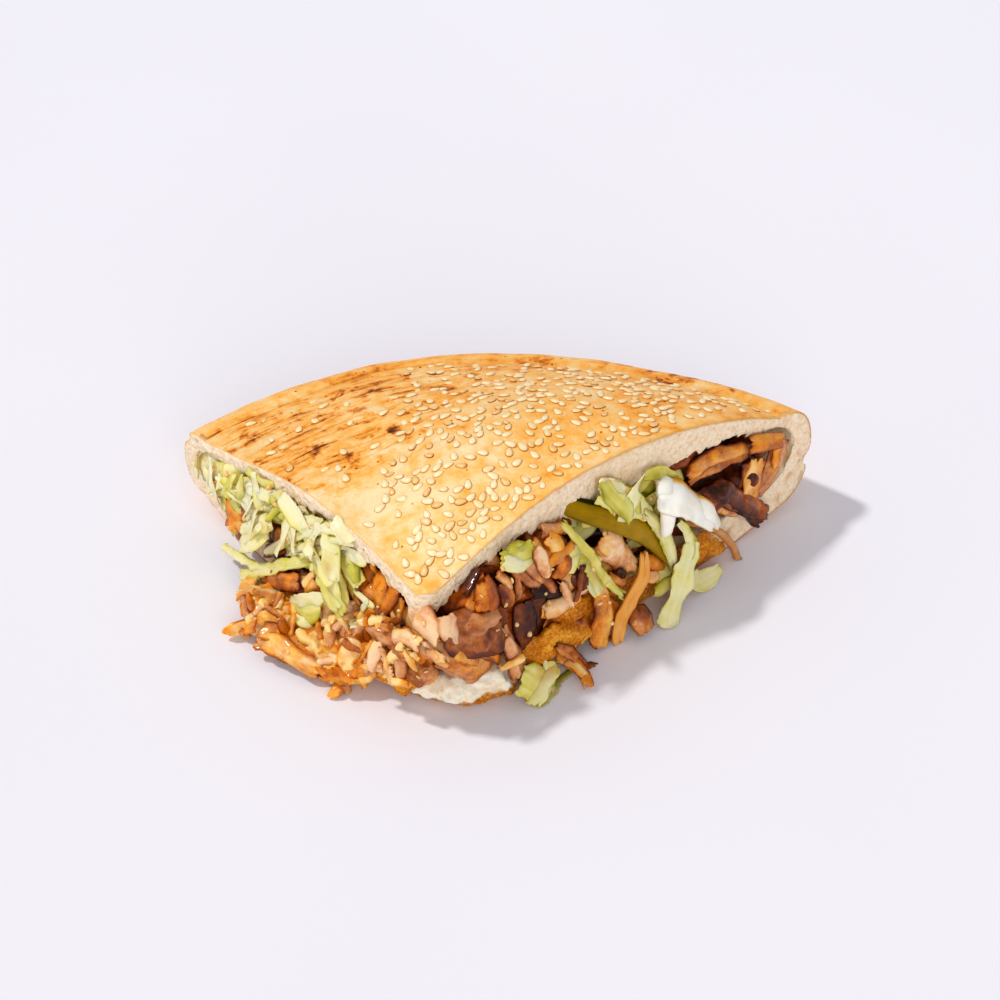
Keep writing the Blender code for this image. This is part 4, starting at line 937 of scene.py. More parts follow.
class Paint:
    """Short ways to build a material's nodes."""

    def __init__(self, name, roughness, subsurface=0.0, scatter_mm=1.0, coat=0.0, specular=0.5):
        self.material = bpy.data.materials.new(name)
        self.material.use_nodes = True
        self.tree = self.material.node_tree
        self.shader = self.tree.nodes["Principled BSDF"].inputs
        self.shader["Roughness"].default_value = roughness
        self.shader["Subsurface Weight"].default_value = subsurface
        self.shader["Subsurface Radius"].default_value = SCATTER_COLOUR
        self.shader["Subsurface Scale"].default_value = scatter_mm * MM
        self.shader["Coat Weight"].default_value = coat
        self.shader["Coat Roughness"].default_value = COAT_ROUGHNESS
        self.shader["Specular IOR Level"].default_value = specular
        self.place = self.node("TexCoord", {}).outputs["Object"]

    def node(self, kind, inputs, **settings):
        """A new node with its settings, and a value or a link for each of the inputs."""
        made = self.tree.nodes.new("ShaderNode" + kind)
        for key, value in settings.items():
            setattr(made, key, value)
        for key, source in inputs.items():
            self.link(source, made.inputs[key])
        return made

    def link(self, source, target):
        if isinstance(source, (int, float)):
            target.default_value = source
        elif isinstance(source, tuple):
            target.default_value = (*source, 1.0) if target.type == "RGBA" else source
        else:
            self.tree.links.new(source, target)

    def value(self, name, output="Fac"):
        """A value that the points carry."""
        return self.node("Attribute", {}, attribute_name=name).outputs[output]

    def noise(self, size_mm, detail, roughness=0.5, distortion=0.0, along=None):
        """Noise of a size in millimetres, by place, or along the grain when a stretch for it is given."""
        place, scale = self.place, PER_MM / size_mm
        if along is not None:
            mapping = {"Vector": self.value("grain", "Vector"), "Scale": along}
            place, scale = self.node("Mapping", mapping).outputs["Vector"], 1.0 / size_mm
        inputs = {"Vector": place, "Scale": scale, "Detail": detail, "Roughness": roughness}
        return self.node("TexNoise", {**inputs, "Distortion": distortion}).outputs["Fac"]

    def spots(self, size_mm, near, far, strength=1.0):
        """Round dots with soft edges, about a size apart."""
        spots = self.node("TexVoronoi", {"Vector": self.place, "Scale": PER_MM / size_mm})
        return self.ranged(spots.outputs["Distance"], near, far, strength, 0.0)

    def maths(self, operation, first, second, clamp=False):
        return self.node("Math", {0: first, 1: second}, operation=operation, use_clamp=clamp).outputs[0]

    def times(self, first, second):
        return self.maths("MULTIPLY", first, second)

    def total(self, first, *others, clamp=False):
        for other in others:
            first = self.maths("ADD", first, other, clamp)
        return first

    def ranged(self, value, low, high, out_low=0.0, out_high=1.0):
        inputs = {"Value": value, "From Min": low, "From Max": high, "To Min": out_low, "To Max": out_high}
        return self.node("MapRange", inputs).outputs["Result"]

    def spread(self, noise, low, high):
        """Noise stretched from low to high."""
        return self.ranged(noise, NOISE_LOW, NOISE_HIGH, low, high)

    def around(self, noise, amount):
        """Noise stretched to this much below and above nothing."""
        return self.spread(noise, -amount, amount)

    def ramp(self, value, stops):
        made = self.node("ValToRGB", {"Fac": value})
        elements = made.color_ramp.elements
        while len(elements) < len(stops):
            elements.new(0.5)
        for element, (place, colour) in zip(elements, stops):
            element.position = place
            element.color = (*colour, 1.0)
        return made.outputs["Color"]

    def blend(self, share, first, second):
        """Two colours mixed. The colour sockets of a mix node are 6, 7 and 2, after those for other kinds."""
        return self.node("Mix", {"Factor": share, 6: first, 7: second}, data_type="RGBA").outputs[2]

    def bump(self, height, depth_mm, strength):
        inputs = {"Strength": strength, "Distance": depth_mm * MM, "Height": height}
        return self.node("Bump", inputs).outputs["Normal"]

    def finish(self, colour, normal=None, roughness=None):
        for name, source in (("Base Color", colour), ("Normal", normal), ("Roughness", roughness)):
            if source is not None:
                self.link(source, self.shader[name])
        return self.material


def crust_paint():
    paint = Paint("crust", 0.42, subsurface=0.06, scatter_mm=1.5, specular=0.22)
    mottle = paint.noise(5.5, 4, 0.6)
    fine = paint.noise(1.1, 4, 0.65)
    streak = paint.ranged(paint.noise(1.0, 3, distortion=0.5, along=(0.045, 0.42, 1.0)), 0.52, 0.72)
    streaked = paint.times(paint.value("streak"), streak)
    blot = paint.ranged(paint.noise(8.0, 4, 0.62, 0.4), 0.52, 0.66)
    baked = paint.total(
        paint.value("bake"),
        paint.around(paint.noise(26, 3), 0.15),
        paint.around(mottle, 0.19),
        paint.around(fine, 0.05),
        paint.times(streaked, 0.46),
        paint.times(paint.times(paint.value("blotch"), blot), 0.42),
        paint.times(paint.spots(6.5, 0.045, 0.09), 0.6),
    )
    inner = paint.ramp(paint.noise(1.6, 4, 0.6), INNER_CRUST_STOPS)
    inner = paint.blend(paint.ranged(paint.noise(13, 3), 0.52, 0.68), inner, INNER_BROWN)
    colour = paint.blend(paint.value("zone"), paint.ramp(baked, CRUST_STOPS), inner)
    height = paint.total(fine, paint.times(mottle, 2.0))
    height = paint.maths("SUBTRACT", height, paint.times(streaked, 1.2))
    return paint.finish(colour, paint.bump(height, 0.28, 0.8), paint.spread(mottle, 0.36, 0.56))


def crumb_paint():
    paint = Paint("crumb", 0.85, subsurface=0.15, scatter_mm=1.5, specular=0.2)
    cell = paint.noise(1.5, 4, 0.65)
    # Painted shade: soft darker dots for the pores.
    pore = paint.times(paint.spots(2.4, 0.10, 0.30), 0.30)
    colour = paint.blend(pore, paint.ramp(cell, CRUMB_STOPS), PORE_BROWN)
    colour = paint.blend(paint.spots(9.0, 0.035, 0.06, 0.7), colour, DARK_SPECK)
    # Painted light: the tip of the lower bread is painted whiter, as though lit from the front.
    colour = paint.blend(paint.times(paint.value("pale"), 0.9), colour, paint.ramp(cell, WHITE_STOPS))
    wet = paint.total(paint.value("soak"), paint.around(paint.noise(6, 4), 0.3), clamp=True)
    oiled = paint.ramp(paint.noise(1.0, 4, 0.7), OILED_STOPS)
    colour = paint.blend(paint.ranged(wet, 0.35, 0.75), colour, oiled)
    colour = paint.blend(paint.value("crust_edge"), colour, CRUST_EDGE)
    normal = paint.bump(paint.noise(0.7, 4, 0.7), 0.3, 0.9)
    return paint.finish(colour, normal, paint.ranged(wet, 0.35, 0.75, 0.85, 0.4))


def meat_paint():
    paint = Paint("meat", 0.36, subsurface=0.16, scatter_mm=1.6, coat=0.4, specular=0.2)
    fibre = paint.noise(1.0, 3, along=(0.22, 0.7, 0.7))
    patch = paint.noise(3.5, 3, 0.6)
    fine = paint.noise(0.8, 3, 0.6)
    tone = paint.total(paint.value("tone"), paint.around(fibre, 0.06), paint.around(patch, 0.10),
                       paint.around(fine, 0.03))
    stain = paint.ranged(paint.noise(5.5, 3), 0.35, 0.65, -0.4, 0.4)
    sauced = paint.total(paint.value("warm"), stain, clamp=True)
    colour = paint.blend(sauced, paint.ramp(tone, PLAIN_MEAT_STOPS), paint.ramp(tone, SAUCED_MEAT_STOPS))
    colour = paint.blend(paint.spots(5.0, 0.04, 0.07, 0.7), colour, MEAT_SPECK)
    normal = paint.bump(paint.total(fibre, paint.times(fine, 0.5)), 0.24, 0.8)
    return paint.finish(colour, normal, paint.spread(patch, 0.3, 0.5))


def cabbage_paint():
    paint = Paint("cabbage", 0.30, subsurface=0.4, scatter_mm=2.0, coat=0.14, specular=0.4)
    vein = paint.noise(1.0, 3, along=(0.07, 0.55, 1.0))
    patch = paint.noise(7.0, 2)
    tone = paint.total(paint.value("tone"), paint.around(vein, 0.13), paint.around(patch, 0.12))
    oil = paint.ranged(paint.noise(11.0, 3), 0.60, 0.74, 0.0, 0.5)
    colour = paint.blend(oil, paint.ramp(tone, CABBAGE_STOPS), CABBAGE_OIL)
    return paint.finish(colour, paint.bump(vein, 0.10, 0.6), paint.spread(patch, 0.2, 0.42))


def seed_paint():
    paint = Paint("sesame", 0.38, subsurface=0.15, scatter_mm=0.8)
    tone = paint.total(paint.value("tone"), paint.around(paint.noise(1.3, 2), 0.08))
    return paint.finish(paint.ramp(tone, SEED_STOPS), paint.bump(paint.noise(0.4, 2), 0.05, 0.5))


def plain_paint(name, stops, roughness, size_mm, coat=0.1, specular=0.35):
    """A wet material whose colour follows the tone, with streaks along the piece."""
    paint = Paint(name, roughness, subsurface=0.2, scatter_mm=2.5, coat=coat, specular=specular)
    streak = paint.noise(1.0, 3, along=(0.1, 0.8, 1.0))
    patch = paint.noise(size_mm, 3)
    tone = paint.total(paint.value("tone"), paint.around(streak, 0.10), paint.around(patch, 0.10))
    shine = paint.spread(patch, roughness, roughness + 0.15)
    return paint.finish(paint.ramp(tone, stops), paint.bump(streak, 0.12, 0.6), shine)


def soaked_paint():
    paint = Paint("soaked_bread", 0.5, subsurface=0.1, scatter_mm=1.5, specular=0.3)
    grit = paint.noise(0.9, 4, 0.7)
    colour = paint.ramp(paint.total(grit, paint.around(paint.noise(7.0, 3), 0.16)), SOAKED_STOPS)
    return paint.finish(colour, paint.bump(grit, 0.35, 0.9))


def floor_paint():
    paint = Paint("floor", 0.9, specular=0.1)
    return paint.finish(paint.ramp(paint.noise(260, 2), FLOOR_STOPS))


def crust_relief(points, reach, turn):
    """How far the crust stands out, in mm: soft lumps all over and creases on the left of the back."""
    flat = np.stack([points[..., 0], points[..., 1], points[..., 2] * 0.3], axis=-1)
    lumps = 0.45 * rough_noise(flat, 20, 2, 21) + 0.16 * rough_noise(flat, 5, 2, 25)
    creased = streak_share(reach, turn)
    place = np.stack([turn * 9.0, reach * 46.0, np.zeros_like(turn)], axis=-1)
    crease = 1 - np.abs(rough_noise(place, 1.0, 2, 31))
    return lumps - 0.55 * creased * np.clip(crease - 0.72, 0, 1) / 0.28


def streak_share(reach, turn):
    return smooth(0.45, 0.72, turn) * smooth(0.30, 0.55, reach)


def bake_share(points, reach, turn):
    """How brown the crust is, from 0 to 1."""
    flat = points * np.array((1.0, 1.0, 0.0))
    rim = 0.16 - 0.08 * smooth(0.4, 0.8, turn)
    bake = 0.22 + rim * smooth(0.62, 0.98, reach) + 0.03 * streak_share(reach, turn)
    pale = smooth(0.62, 0.3, reach) * smooth(0.08, 0.24, reach) * smooth(0.25, 0.7, turn)
    return bake - 0.15 * pale + 0.08 * rough_noise(flat, 45, 2, 41)


def make_bread(material):
    """The whole bread as one closed sheet: its outer skin, and its inner side against the filling."""
    layers = (("bottom", BOTTOM_CELLS), ("rim", RIM_CELLS), ("top", TOP_CELLS))
    steps = [(layer, cell / cells) for layer, cells in layers for cell in range(cells)] + [("top", 1.0)]
    sides = np.linspace(0, 1, TURN_CELLS + 1)
    skin, reach = bread_rows(steps, sides, False)
    crumb, _ = bread_rows(steps, sides, True)
    turn = np.broadcast_to(sides, reach.shape)
    normal = unit(np.cross(np.gradient(skin, axis=0), np.gradient(skin, axis=1)))
    normal = np.where(np.sum(normal * (skin - crumb), axis=-1, keepdims=True) < 0, -normal, normal)
    upper = np.array([{"bottom": 0.0, "rim": 0.6, "top": 1.0}[layer] for layer, _ in steps])[:, None]
    skin = skin + normal * (crust_relief(skin, reach, turn) * upper)[..., None]
    skin[..., 2] = np.maximum(skin[..., 2], 0.0)
    crumb = crumb + unit(skin - crumb) * (0.5 * rough_noise(crumb, 6, 2, 51))[..., None]
    underside = 0.42 + 0.2 * rough_noise(skin, 18, 2, 45)
    bake = np.where(upper == 0.0, underside, bake_share(skin, reach, turn))
    blotch = smooth(0.45, 0.65, turn) * smooth(0.3, 0.5, reach) * (1 - 0.8 * smooth(0.84, 0.93, reach))
    rim_blotch = smooth(0.78, 0.9, reach) * (1 - smooth(0.42, 0.55, turn)) * smooth(0.05, 0.15, turn)
    blotch = blotch + rim_blotch + 0.22
    grain = np.stack([turn * 220, reach * 160, np.zeros_like(turn)], axis=-1)
    heap = Heap()
    heap.add(
        np.concatenate([skin.reshape(-1, 3), crumb.reshape(-1, 3)]),
        sheet_faces(len(steps) - 1, TURN_CELLS),
        bake=np.concatenate([bake.ravel()] * 2),
        blotch=np.concatenate([blotch.ravel()] * 2),
        streak=np.concatenate([(streak_share(reach, turn) * upper).ravel()] * 2),
        zone=np.repeat((0.0, 1.0), reach.size),
        grain=np.concatenate([grain.reshape(-1, 3)] * 2),
    )
    heap.make("bread_crust", material, "bread")
    return heap


def cut_stations(side_turn):
    """Layers and amounts, evenly spaced, along the cut face at one side."""
    rows = []
    for layer in ("bottom", "rim", "top"):
        amounts = np.linspace(0.0, 1.0, RING_SAMPLES)
        skin, _ = bread_point(layer, amounts, np.full(RING_SAMPLES, side_turn), False)
        length = np.concatenate([[0], np.cumsum(np.linalg.norm(np.diff(skin, axis=0), axis=1))])
        count = max(int(length[-1] / RING_STEP), 4)
        rows.append((layer, np.interp(np.linspace(0, length[-1], count, endpoint=False), length, amounts)))
    return rows


def ring_stations():
    """The path of the cut face round the whole bread, closed: each cut and each blunt tip in turn."""
    there = [(layer, amount, np.zeros(len(amount))) for layer, amount in cut_stations(0.0)]
    back = []
    for layer, amount in cut_stations(1.0):
        back.append((layer, np.append(amount[1:], 1.0)[::-1], np.ones(len(amount))))
    across = np.linspace(0, 1, CAP_STATIONS, endpoint=False)
    top_cap = ("top", np.ones(CAP_STATIONS), across)
    bottom_cap = ("bottom", np.zeros(CAP_STATIONS), 1 - across)
    return [*there, top_cap, *back[::-1], bottom_cap]


def soak_share(layer, reach, turn, down):
    """How much oil has soaked into the crumb at the cut, from 0 to 1."""
    if layer == "top":
        return 0.05 + 0.25 * smooth(0.85, 1.1, down)
    on_right = turn < 0.5
    run = np.where(on_right, smooth(0.10, 0.16, reach) * (1 - smooth(0.66, 0.74, reach)), 0.0)
    run = run + np.where(on_right, 0.28, 0.75 * (1 - smooth(0.55, 0.75, reach)) * smooth(0.08, 0.16, reach))
    tip = 0.95 * (1 - smooth(0.08, 0.48, down)) + 0.6 * smooth(0.86, 1.0, down)
    return np.clip(run + (1 - smooth(0.10, 0.13, reach)) * tip, 0, 1)


def make_crumb(material):
    """The torn crumb that shows on both cuts: one closed ring with pores, ragged along its inner edge."""
    down = np.linspace(0, 1, RING_ACROSS + 1)
    rows = []
    for layer, amount, turn in ring_stations():
        skin, reach = bread_point(layer, amount, turn, False)
        crumb, _ = bread_point(layer, amount, turn, True)
        out = unit(OUT["right"] * (1 - turn[:, None]) + OUT["left"] * turn[:, None])
        soak = np.stack([soak_share(layer, reach, turn, value) * np.ones_like(reach) for value in down], 1)
        lip = np.full(len(amount), {"top": 1.0, "rim": 0.3, "bottom": 0.35}[layer])
        rows.append((skin, crumb, out, soak, lip, (1 - smooth(0.08, 0.2, reach)) * (layer == "bottom")))
    skin, crumb, out, soak, lip, tip = (np.concatenate(column) for column in zip(*rows))
    thick = np.linalg.norm(crumb - skin, axis=1)
    depth = unit(crumb - skin)[:, None, :]
    fringe = 0.9 + 2.1 * rough_noise(crumb, 3.0, 3, 61) + 1.4 * noise(crumb, 1.0, 66)
    first = 0.55 + 0.2 * noise(skin, 2.0, 67)
    last = thick + np.maximum(fringe, -0.6) * lip
    far = mix(first[:, None], last[:, None], down[None, :])
    face = skin[:, None, :] + depth * far[..., None]
    relief = 0.6 + 0.42 * rough_noise(face, 2.2, 3, 71) - 0.7 * (1 - smooth(0.12, 0.38, pits(face, 1.7, 75)))
    relief = relief * np.sin(math.pi * np.clip(down, 0.0, 1.0)) ** 0.35 + 0.05
    torn = 1 + 0.3 * rough_noise(face, 5.0, 2, 79) + 0.16 * rough_noise(face, 1.5, 2, 83)
    tip_edge = np.sin(math.pi * np.clip(0.15 + 0.85 * down, 0.0, 1.0)) ** 0.35
    relief = relief + tip[:, None] * TIP_BULGE * torn * tip_edge
    front = face + out[:, None, :] * relief[..., None]
    behind = mix(first[:, None], (thick - 1.2)[:, None], np.array((1.0, 0.0)))
    back = skin[:, None, :] + depth * behind[..., None] - out[:, None, :] * 1.6
    points = np.concatenate([front, back], axis=1)
    count, wide = points.shape[:2]
    index = np.arange(count * wide).reshape(count, wide)
    after = np.roll(index, -1, axis=0)
    faces = np.stack([index, np.roll(index, -1, axis=1), np.roll(after, -1, axis=1), after], axis=-1)
    points = points.reshape(-1, 3)
    points[:, 2] = np.maximum(points[:, 2], 0.05)
    soak = np.concatenate([soak, np.zeros((count, 2))], axis=1)
    lined = np.append(1 - smooth(0.0, 0.07, down), (1.0, 1.0))
    heap = Heap()
    # The tip share also paints that crumb whiter, as painted light.
    heap.add(points, faces.reshape(-1, 4), soak=soak, crust_edge=np.tile(lined * 0.8, count),
             pale=np.repeat(tip, wide))
    return heap.make("bread_crumb", material, "bread")


def crust_frame(reach, turn):
    """A point of the top crust and the outward normal there."""
    step = 0.01

    def crust(here, there):
        here, there = np.array([here]), np.array([there])
        return standing(top_plan(here, there), crust_height(here, there))[0]

    along = crust(reach + step, turn) - crust(reach - step, turn)
    across = crust(reach, turn + step) - crust(reach, turn - step)
    normal = unit(np.cross(along, across))
    if normal[2] < 0:
        normal = -normal
    point = crust(reach, turn)
    relief = crust_relief(point[None, :], np.array([reach]), np.array([turn]))[0]
    return point, normal, relief


def seed_places():
    """The seeds of the part first, then many more between them, thick on the middle and the right."""
    pick = random.Random(SEED_NUMBER)
    places = []
    while len(places) < ALL_SEEDS + TIP_SEEDS:
        first = len(places) < FIRST_SEEDS
        spacing = SEED_SPACING if first else CLOSE_SPACING
        reach = math.sqrt(pick.uniform(0.01, 0.76 if first else 0.86))
        turn = pick.uniform(0.03, 0.97)
        if len(places) >= ALL_SEEDS:
            reach = pick.uniform(0.06, 0.34)
        point, normal, relief = crust_frame(reach, turn)
        share = mix(0.08, 1.0, float(smooth(-45, 0, point[0])))
        if not first:
            share *= 1.0 - 0.6 * float(smooth(0.72, 0.9, reach))
        if pick.random() > share:
            continue
        if any(np.linalg.norm(point - other) < spacing for other, _, _, _ in places):
            continue
        places.append((point, normal, pick.uniform(0, math.pi), relief))
    return places


def make_seeds(material):
    """Sesame seeds lying on the crust, each a flat drop whose foot is painted brown, partly as toast and
    partly as painted shade where it meets the crust.
    """
    heap = Heap()
    pick = random.Random(SEED_DRAWS)
    angles = np.arange(SEED_SIDES) * 2 * math.pi / SEED_SIDES
    ring = np.arange(SEED_SIDES)
    after = (ring + 1) % SEED_SIDES
    top = 1 + (len(SEED_RINGS) - 1) * SEED_SIDES
    faces = [np.stack([0 * ring, 1 + after, 1 + ring], 1)]
    for low in range(1, top, SEED_SIDES):
        high = low + SEED_SIDES
        faces.append(np.stack([low + ring, low + after, high + ring], 1))
        faces.append(np.stack([low + after, high + after, high + ring], 1))
    faces.append(np.stack([top + ring, top + after, 0 * ring + top + SEED_SIDES], 1))
    for point, normal, yaw, relief in seed_places():
        ahead = np.array((math.cos(yaw), math.sin(yaw), 0.0))
        ahead = unit(ahead - normal * ahead.dot(normal))
        aside = np.cross(normal, ahead)
        grow = pick.uniform(0.82, 1.12)
        length, width, height = (size / 2 * grow for size in SEED_SIZE)
        toast = pick.choice(SEED_TOAST)
        centre = point + normal * (relief + height * 0.18 + pick.uniform(-0.12, 0.1))
        tip = pick.uniform(0.22, 0.42)
        run = np.cos(angles)[:, None]
        wide = np.sin(angles)[:, None] * (1 - tip * run)
        rows = [[centre - normal * height * 0.6]]
        tones = [[1.0]]
        for scale, level, brown in SEED_RINGS:
            spot = centre + ahead * run * length * scale + aside * wide * width * scale
            rows.append(spot + normal * height * level)
            # The browned foot is partly toast and partly painted shade where the seed meets the crust.
            tones.append([brown + toast] * SEED_SIDES)
        rows.append([centre + normal * height * 0.84])
        tones.append([toast])
        heap.add(np.concatenate(rows), np.concatenate(faces), tone=np.concatenate(tones))
    return heap.make("sesame_seeds", material, "bread")


def resting(side, place, size):
    """The middle of a lump, kept clear of the floor."""
    middle = cut_point(side, place)
    middle[2] = max(middle[2], size[2] * 0.46 + 0.8)
    return middle


def make_core(material):
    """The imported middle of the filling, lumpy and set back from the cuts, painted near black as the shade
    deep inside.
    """
    rows, columns = 70, 90
    reach = np.linspace(0.12, 0.86, rows + 1)
    reach, turn = np.meshgrid(reach, np.linspace(0.05, 0.95, columns + 1), indexing="ij")
    low = standing(bottom_plan(reach, turn), bottom_thickness(reach, turn) - 1.0)
    high = standing(top_plan(reach, turn), crust_height(reach, turn) - top_thickness(reach, turn) + 1.0)
    points = np.concatenate([high.reshape(-1, 3), low.reshape(-1, 3)])
    heap = Heap()
    # Painted shade: a near-black tone for the shade deep inside the filling.
    shade = 0.88 + 0.12 * rough_noise(points, 8, 2, 81)
    heap.add(points, sheet_faces(rows, columns), tone=shade, grain=points, warm=0.5)
    for number, (side, place, size) in enumerate(MEAT_CORES):
        # Painted shade: lumps less far out of the cut are darker.
        tone = 0.42 if place[2] > 8 else 0.72
        small = [value * CORE_SHARE for value in size]
        lump(heap, resting(side, place, size), small, YAW[side], number + 40, tone=tone, level=4, tilt=0.0,
             relief=0.16, sharp=20, warm=1.0)
    wall_lumps(heap)
    heap.make("meat_core", material, "meat")
    return heap


def wall_lumps(heap):
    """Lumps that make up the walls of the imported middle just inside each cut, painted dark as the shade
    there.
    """
    pick = random.Random(WALL_DRAWS)
    for side, turn in (("right", np.zeros(1)), ("left", np.ones(1))):
        length = np.linalg.norm(CUT_ENDS[side] - CUT_TIP)
        for number in range(WALL_LUMPS):
            along = pick.uniform(6, 0.9 * length)
            reach = np.array([along / length])
            low = float(bottom_thickness(reach, turn)[0])
            high = float((crust_height(reach, turn) - top_thickness(reach, turn))[0])
            place = (along, pick.uniform(low + 1, high - 1), pick.uniform(-10, -5))
            size = (pick.uniform(10, 17), pick.uniform(8, 12), pick.uniform(8, 12))
            # Painted shade: a dark tone for the shade inside the cut.
            tone = pick.choice(WALL_TONES)
            yaw = YAW[side] + pick.uniform(-0.6, 0.6)
            lump(heap, cut_point(side, place), size, yaw, number + 300, tone=tone)


def make_meat(material):
    """The slices and the chopped lumps. Sines of the number vary how they turn, curl and are sauced."""
    slices = Heap()
    torn = dict(step=0.6, ragged=0.3, relief=0.8, fibres=0.06, edge_tone=0.28, fray=0.25)
    for number, (side, bends, width, thick, cup, tone) in enumerate(MEAT_SLICES):
        places = [cut_point(side, place) for place in bends]
        sheet(slices, places, width, thick * 0.5, facing_of(side), number + 10, cup=cup, tone=tone,
              twist=0.35, taper=0.45, lean_tone=0.16 * math.sin(number * 3), curl=0.25 * math.sin(number * 7),
              warm=0.5 + 0.5 * math.sin(number * 4), **torn)
    for number, (side, bends, width, tone, sauce) in enumerate(SEEN_MEAT):
        places = [seen(side, place) for place in bends]
        darker = RIGHT_DARKER if side == "right" else 0.0
        sheet(slices, places, width, 1.3, facing_of(side), number + 110, cup=0.10 * width, tone=tone + darker,
              twist=0.12, taper=0.3, lean_tone=0.2 * math.sin(number * 3), curl=0.25 * math.sin(number * 5),
              warm=sauce, **torn)
    chunks = Heap()
    for number, (side, place, size, tone) in enumerate(MEAT_LUMPS):
        spilt = side == "left" and place[2] > 6
        lump(chunks, resting(side, place, size), size, YAW[side] + math.sin(number * 5) * 0.5, number,
             tone=tone * (0.62 if spilt else 1.1), level=4, relief=0.13,
             warm=0.9 if spilt else 0.55 + 0.4 * math.sin(number * 3))
    for number, (side, place, size, yaw, tone, sauce) in enumerate(SEEN_LUMPS):
        lump(chunks, seen(side, place), size, yaw, number + 60, tone=tone, tilt=0.2, warm=sauce)
    slices.make("meat_slices", material, "meat")
    chunks.make("meat_chunks", material, "meat", crease=CREASE)
    return slices, chunks


def ray_toward(zone, pick):
    """The start and the way of a ray, from outside a cut or from the camera, to somewhere in a zone."""
    side, along, up, lean = zone
    if lean is None:
        return EYE, unit(seen("flat", (pick.uniform(*along), pick.uniform(*up), 0.0)) - EYE)
    start = cut_point(side, (pick.uniform(*along), pick.uniform(*up), FALL_FROM))
    tilt = pick.uniform(*lean)
    aim = unit(-OUT[side] * math.cos(tilt) + np.array((0, 0, -math.sin(tilt))))
    return start - aim * FALL_BACK + np.array((0, 0, FALL_FROM * math.tan(tilt))), aim


def resting_places(tree, rows):
    """Places on the open surface of the filling, each where a ray first meets it."""
    found = []
    for count, number, zones in rows:
        pick = random.Random(number)
        wanted = len(found) + count
        for _ in range(count * TRIES):
            if len(found) == wanted:
                break
            zone = pick.choice(zones)
            start, aim = ray_toward(zone, pick)
            place, normal, _, _ = tree.ray_cast(Vector(start), Vector(aim))
            if place is None or place.z < 2.0:
                continue
            normal = np.array(normal)
            found.append((np.array(place), -normal if normal.dot(aim) > 0 else normal, zone[0]))
    return found


def scatter(heap, tree, blocked, places, pick, long, wide, thick, tones, **options):
    """Small torn pieces lying on the filling, each bent to what is under it."""
    for number, (place, normal, side) in enumerate(places):
        if blocked(place):
            continue
        turn = pick.uniform(0, 2 * math.pi)
        flat = unit(np.cross(normal, (math.cos(turn), math.sin(turn), 0.3)))
        run = pick.uniform(*long) / 2
        lifted = pick.uniform(0.3, 0.9)
        bends = []
        for step in (-1.0, -0.35, 0.35, 1.0):
            here = place + flat * run * step
            near, away, _, _ = tree.find_nearest(Vector(here))
            rise = np.array(away) if np.array(away).dot(normal) > 0 else normal
            bends.append((np.array(near) + rise * lifted) * 0.65 + (here + normal * lifted) * 0.35)
        sheet(heap, bends, pick.uniform(*wide), pick.uniform(*thick), unit(normal + 0.35 * flat),
              number + 900, tone=pick.choice(tones), warm=pick.uniform(*SAUCE_SHARES[side]), **options)


def kept_clear(never, seldom, pick):
    """A test that keeps small pieces off some surfaces and open places, and mostly off other surfaces."""
    def blocked(place):
        if never.find_nearest(Vector(place))[3] < 0.8:
            return True
        across, down = picture_place(place)
        if any(left < across < right and upper < down < lower for left, upper, right, lower in OPEN_PLACES):
            return True
        return seldom.find_nearest(Vector(place))[3] < 0.3 and pick.random() < 0.93
    return blocked


def make_shreds(tree, blocked, pick, material):
    heap = Heap()
    torn = dict(cup=0.7, step=0.6, ragged=0.4, twist=0.6, relief=0.9, fibres=0.05, edge_tone=0.14, fray=0.4)
    left = resting_places(tree, LEFT_SHREDS)
    right = resting_places(tree, RIGHT_SHREDS)
    scatter(heap, tree, blocked, left, pick, (6, 13), (2.0, 5.0), (0.7, 1.5), TAN_TONES, **torn)
    scatter(heap, tree, blocked, right, pick, (6, 14), (2.0, 4.6), (0.6, 1.2), DARK_TONES, **torn)
    heap.make("meat_shreds", material, "meat")


def make_morsels(tree, blocked, pick, material):
    heap = Heap()
    for number, (place, normal, side) in enumerate(resting_places(tree, MORSELS)):
        if blocked(place):
            continue
        size = [pick.uniform(4.0, 8.5), pick.uniform(2.6, 5.0), pick.uniform(1.6, 3.4)]
        tone = pick.choice(TAN_TONES if side == "left" else DARK_TONES)
        lump(heap, place + normal * size[2] * 0.2, size, pick.uniform(0, math.pi), number + 2000, tone=tone,
             tilt=0.8, warm=pick.uniform(*SAUCE_SHARES[side]))
    heap.make("meat_morsels", material, "meat", crease=CREASE)


def make_crumbs(tree, pick, material):
    heap = Heap()
    for number, (place, normal, _) in enumerate(resting_places(tree, CRUMBS)):
        size = [pick.uniform(0.8, 2.2) for _ in range(3)]
        lump(heap, place + normal * 0.2, size, pick.uniform(0, math.pi), number + 4000,
             tone=pick.choice(CRUMB_TONES), level=2, warm=0.7)
    heap.make("fallen_crumbs", material, "meat")


def make_scraps(tree, blocked, bread, pick, material):
    """Loose cabbage: a few scraps on the meat, and broad wavy shreds where the cabbage lies thick."""
    heap = Heap()
    thin = dict(cup=0.5, ruffle=1.1, step=0.6, fibres=0.04, ragged=0.3, twist=0.7, lean_tone=0.2)
    places = resting_places(tree, FEW_SCRAPS)
    scatter(heap, tree, blocked, places, pick, (5, 12), (2.0, 4.5), (0.4, 0.7), SCRAP_TONES, **thin)
    off_bread = kept_clear(surface_of([bread]), surface_of([bread]), pick)
    places = resting_places(tree, THICK_SCRAPS)
    scatter(heap, tree, off_bread, places, pick, (11, 22), (2.6, 6.4), (0.3, 0.45), GREEN_TONES, taper=0.35,
            curl=0.35, **thin)
    heap.make("cabbage_scraps", material, "cabbage_left")


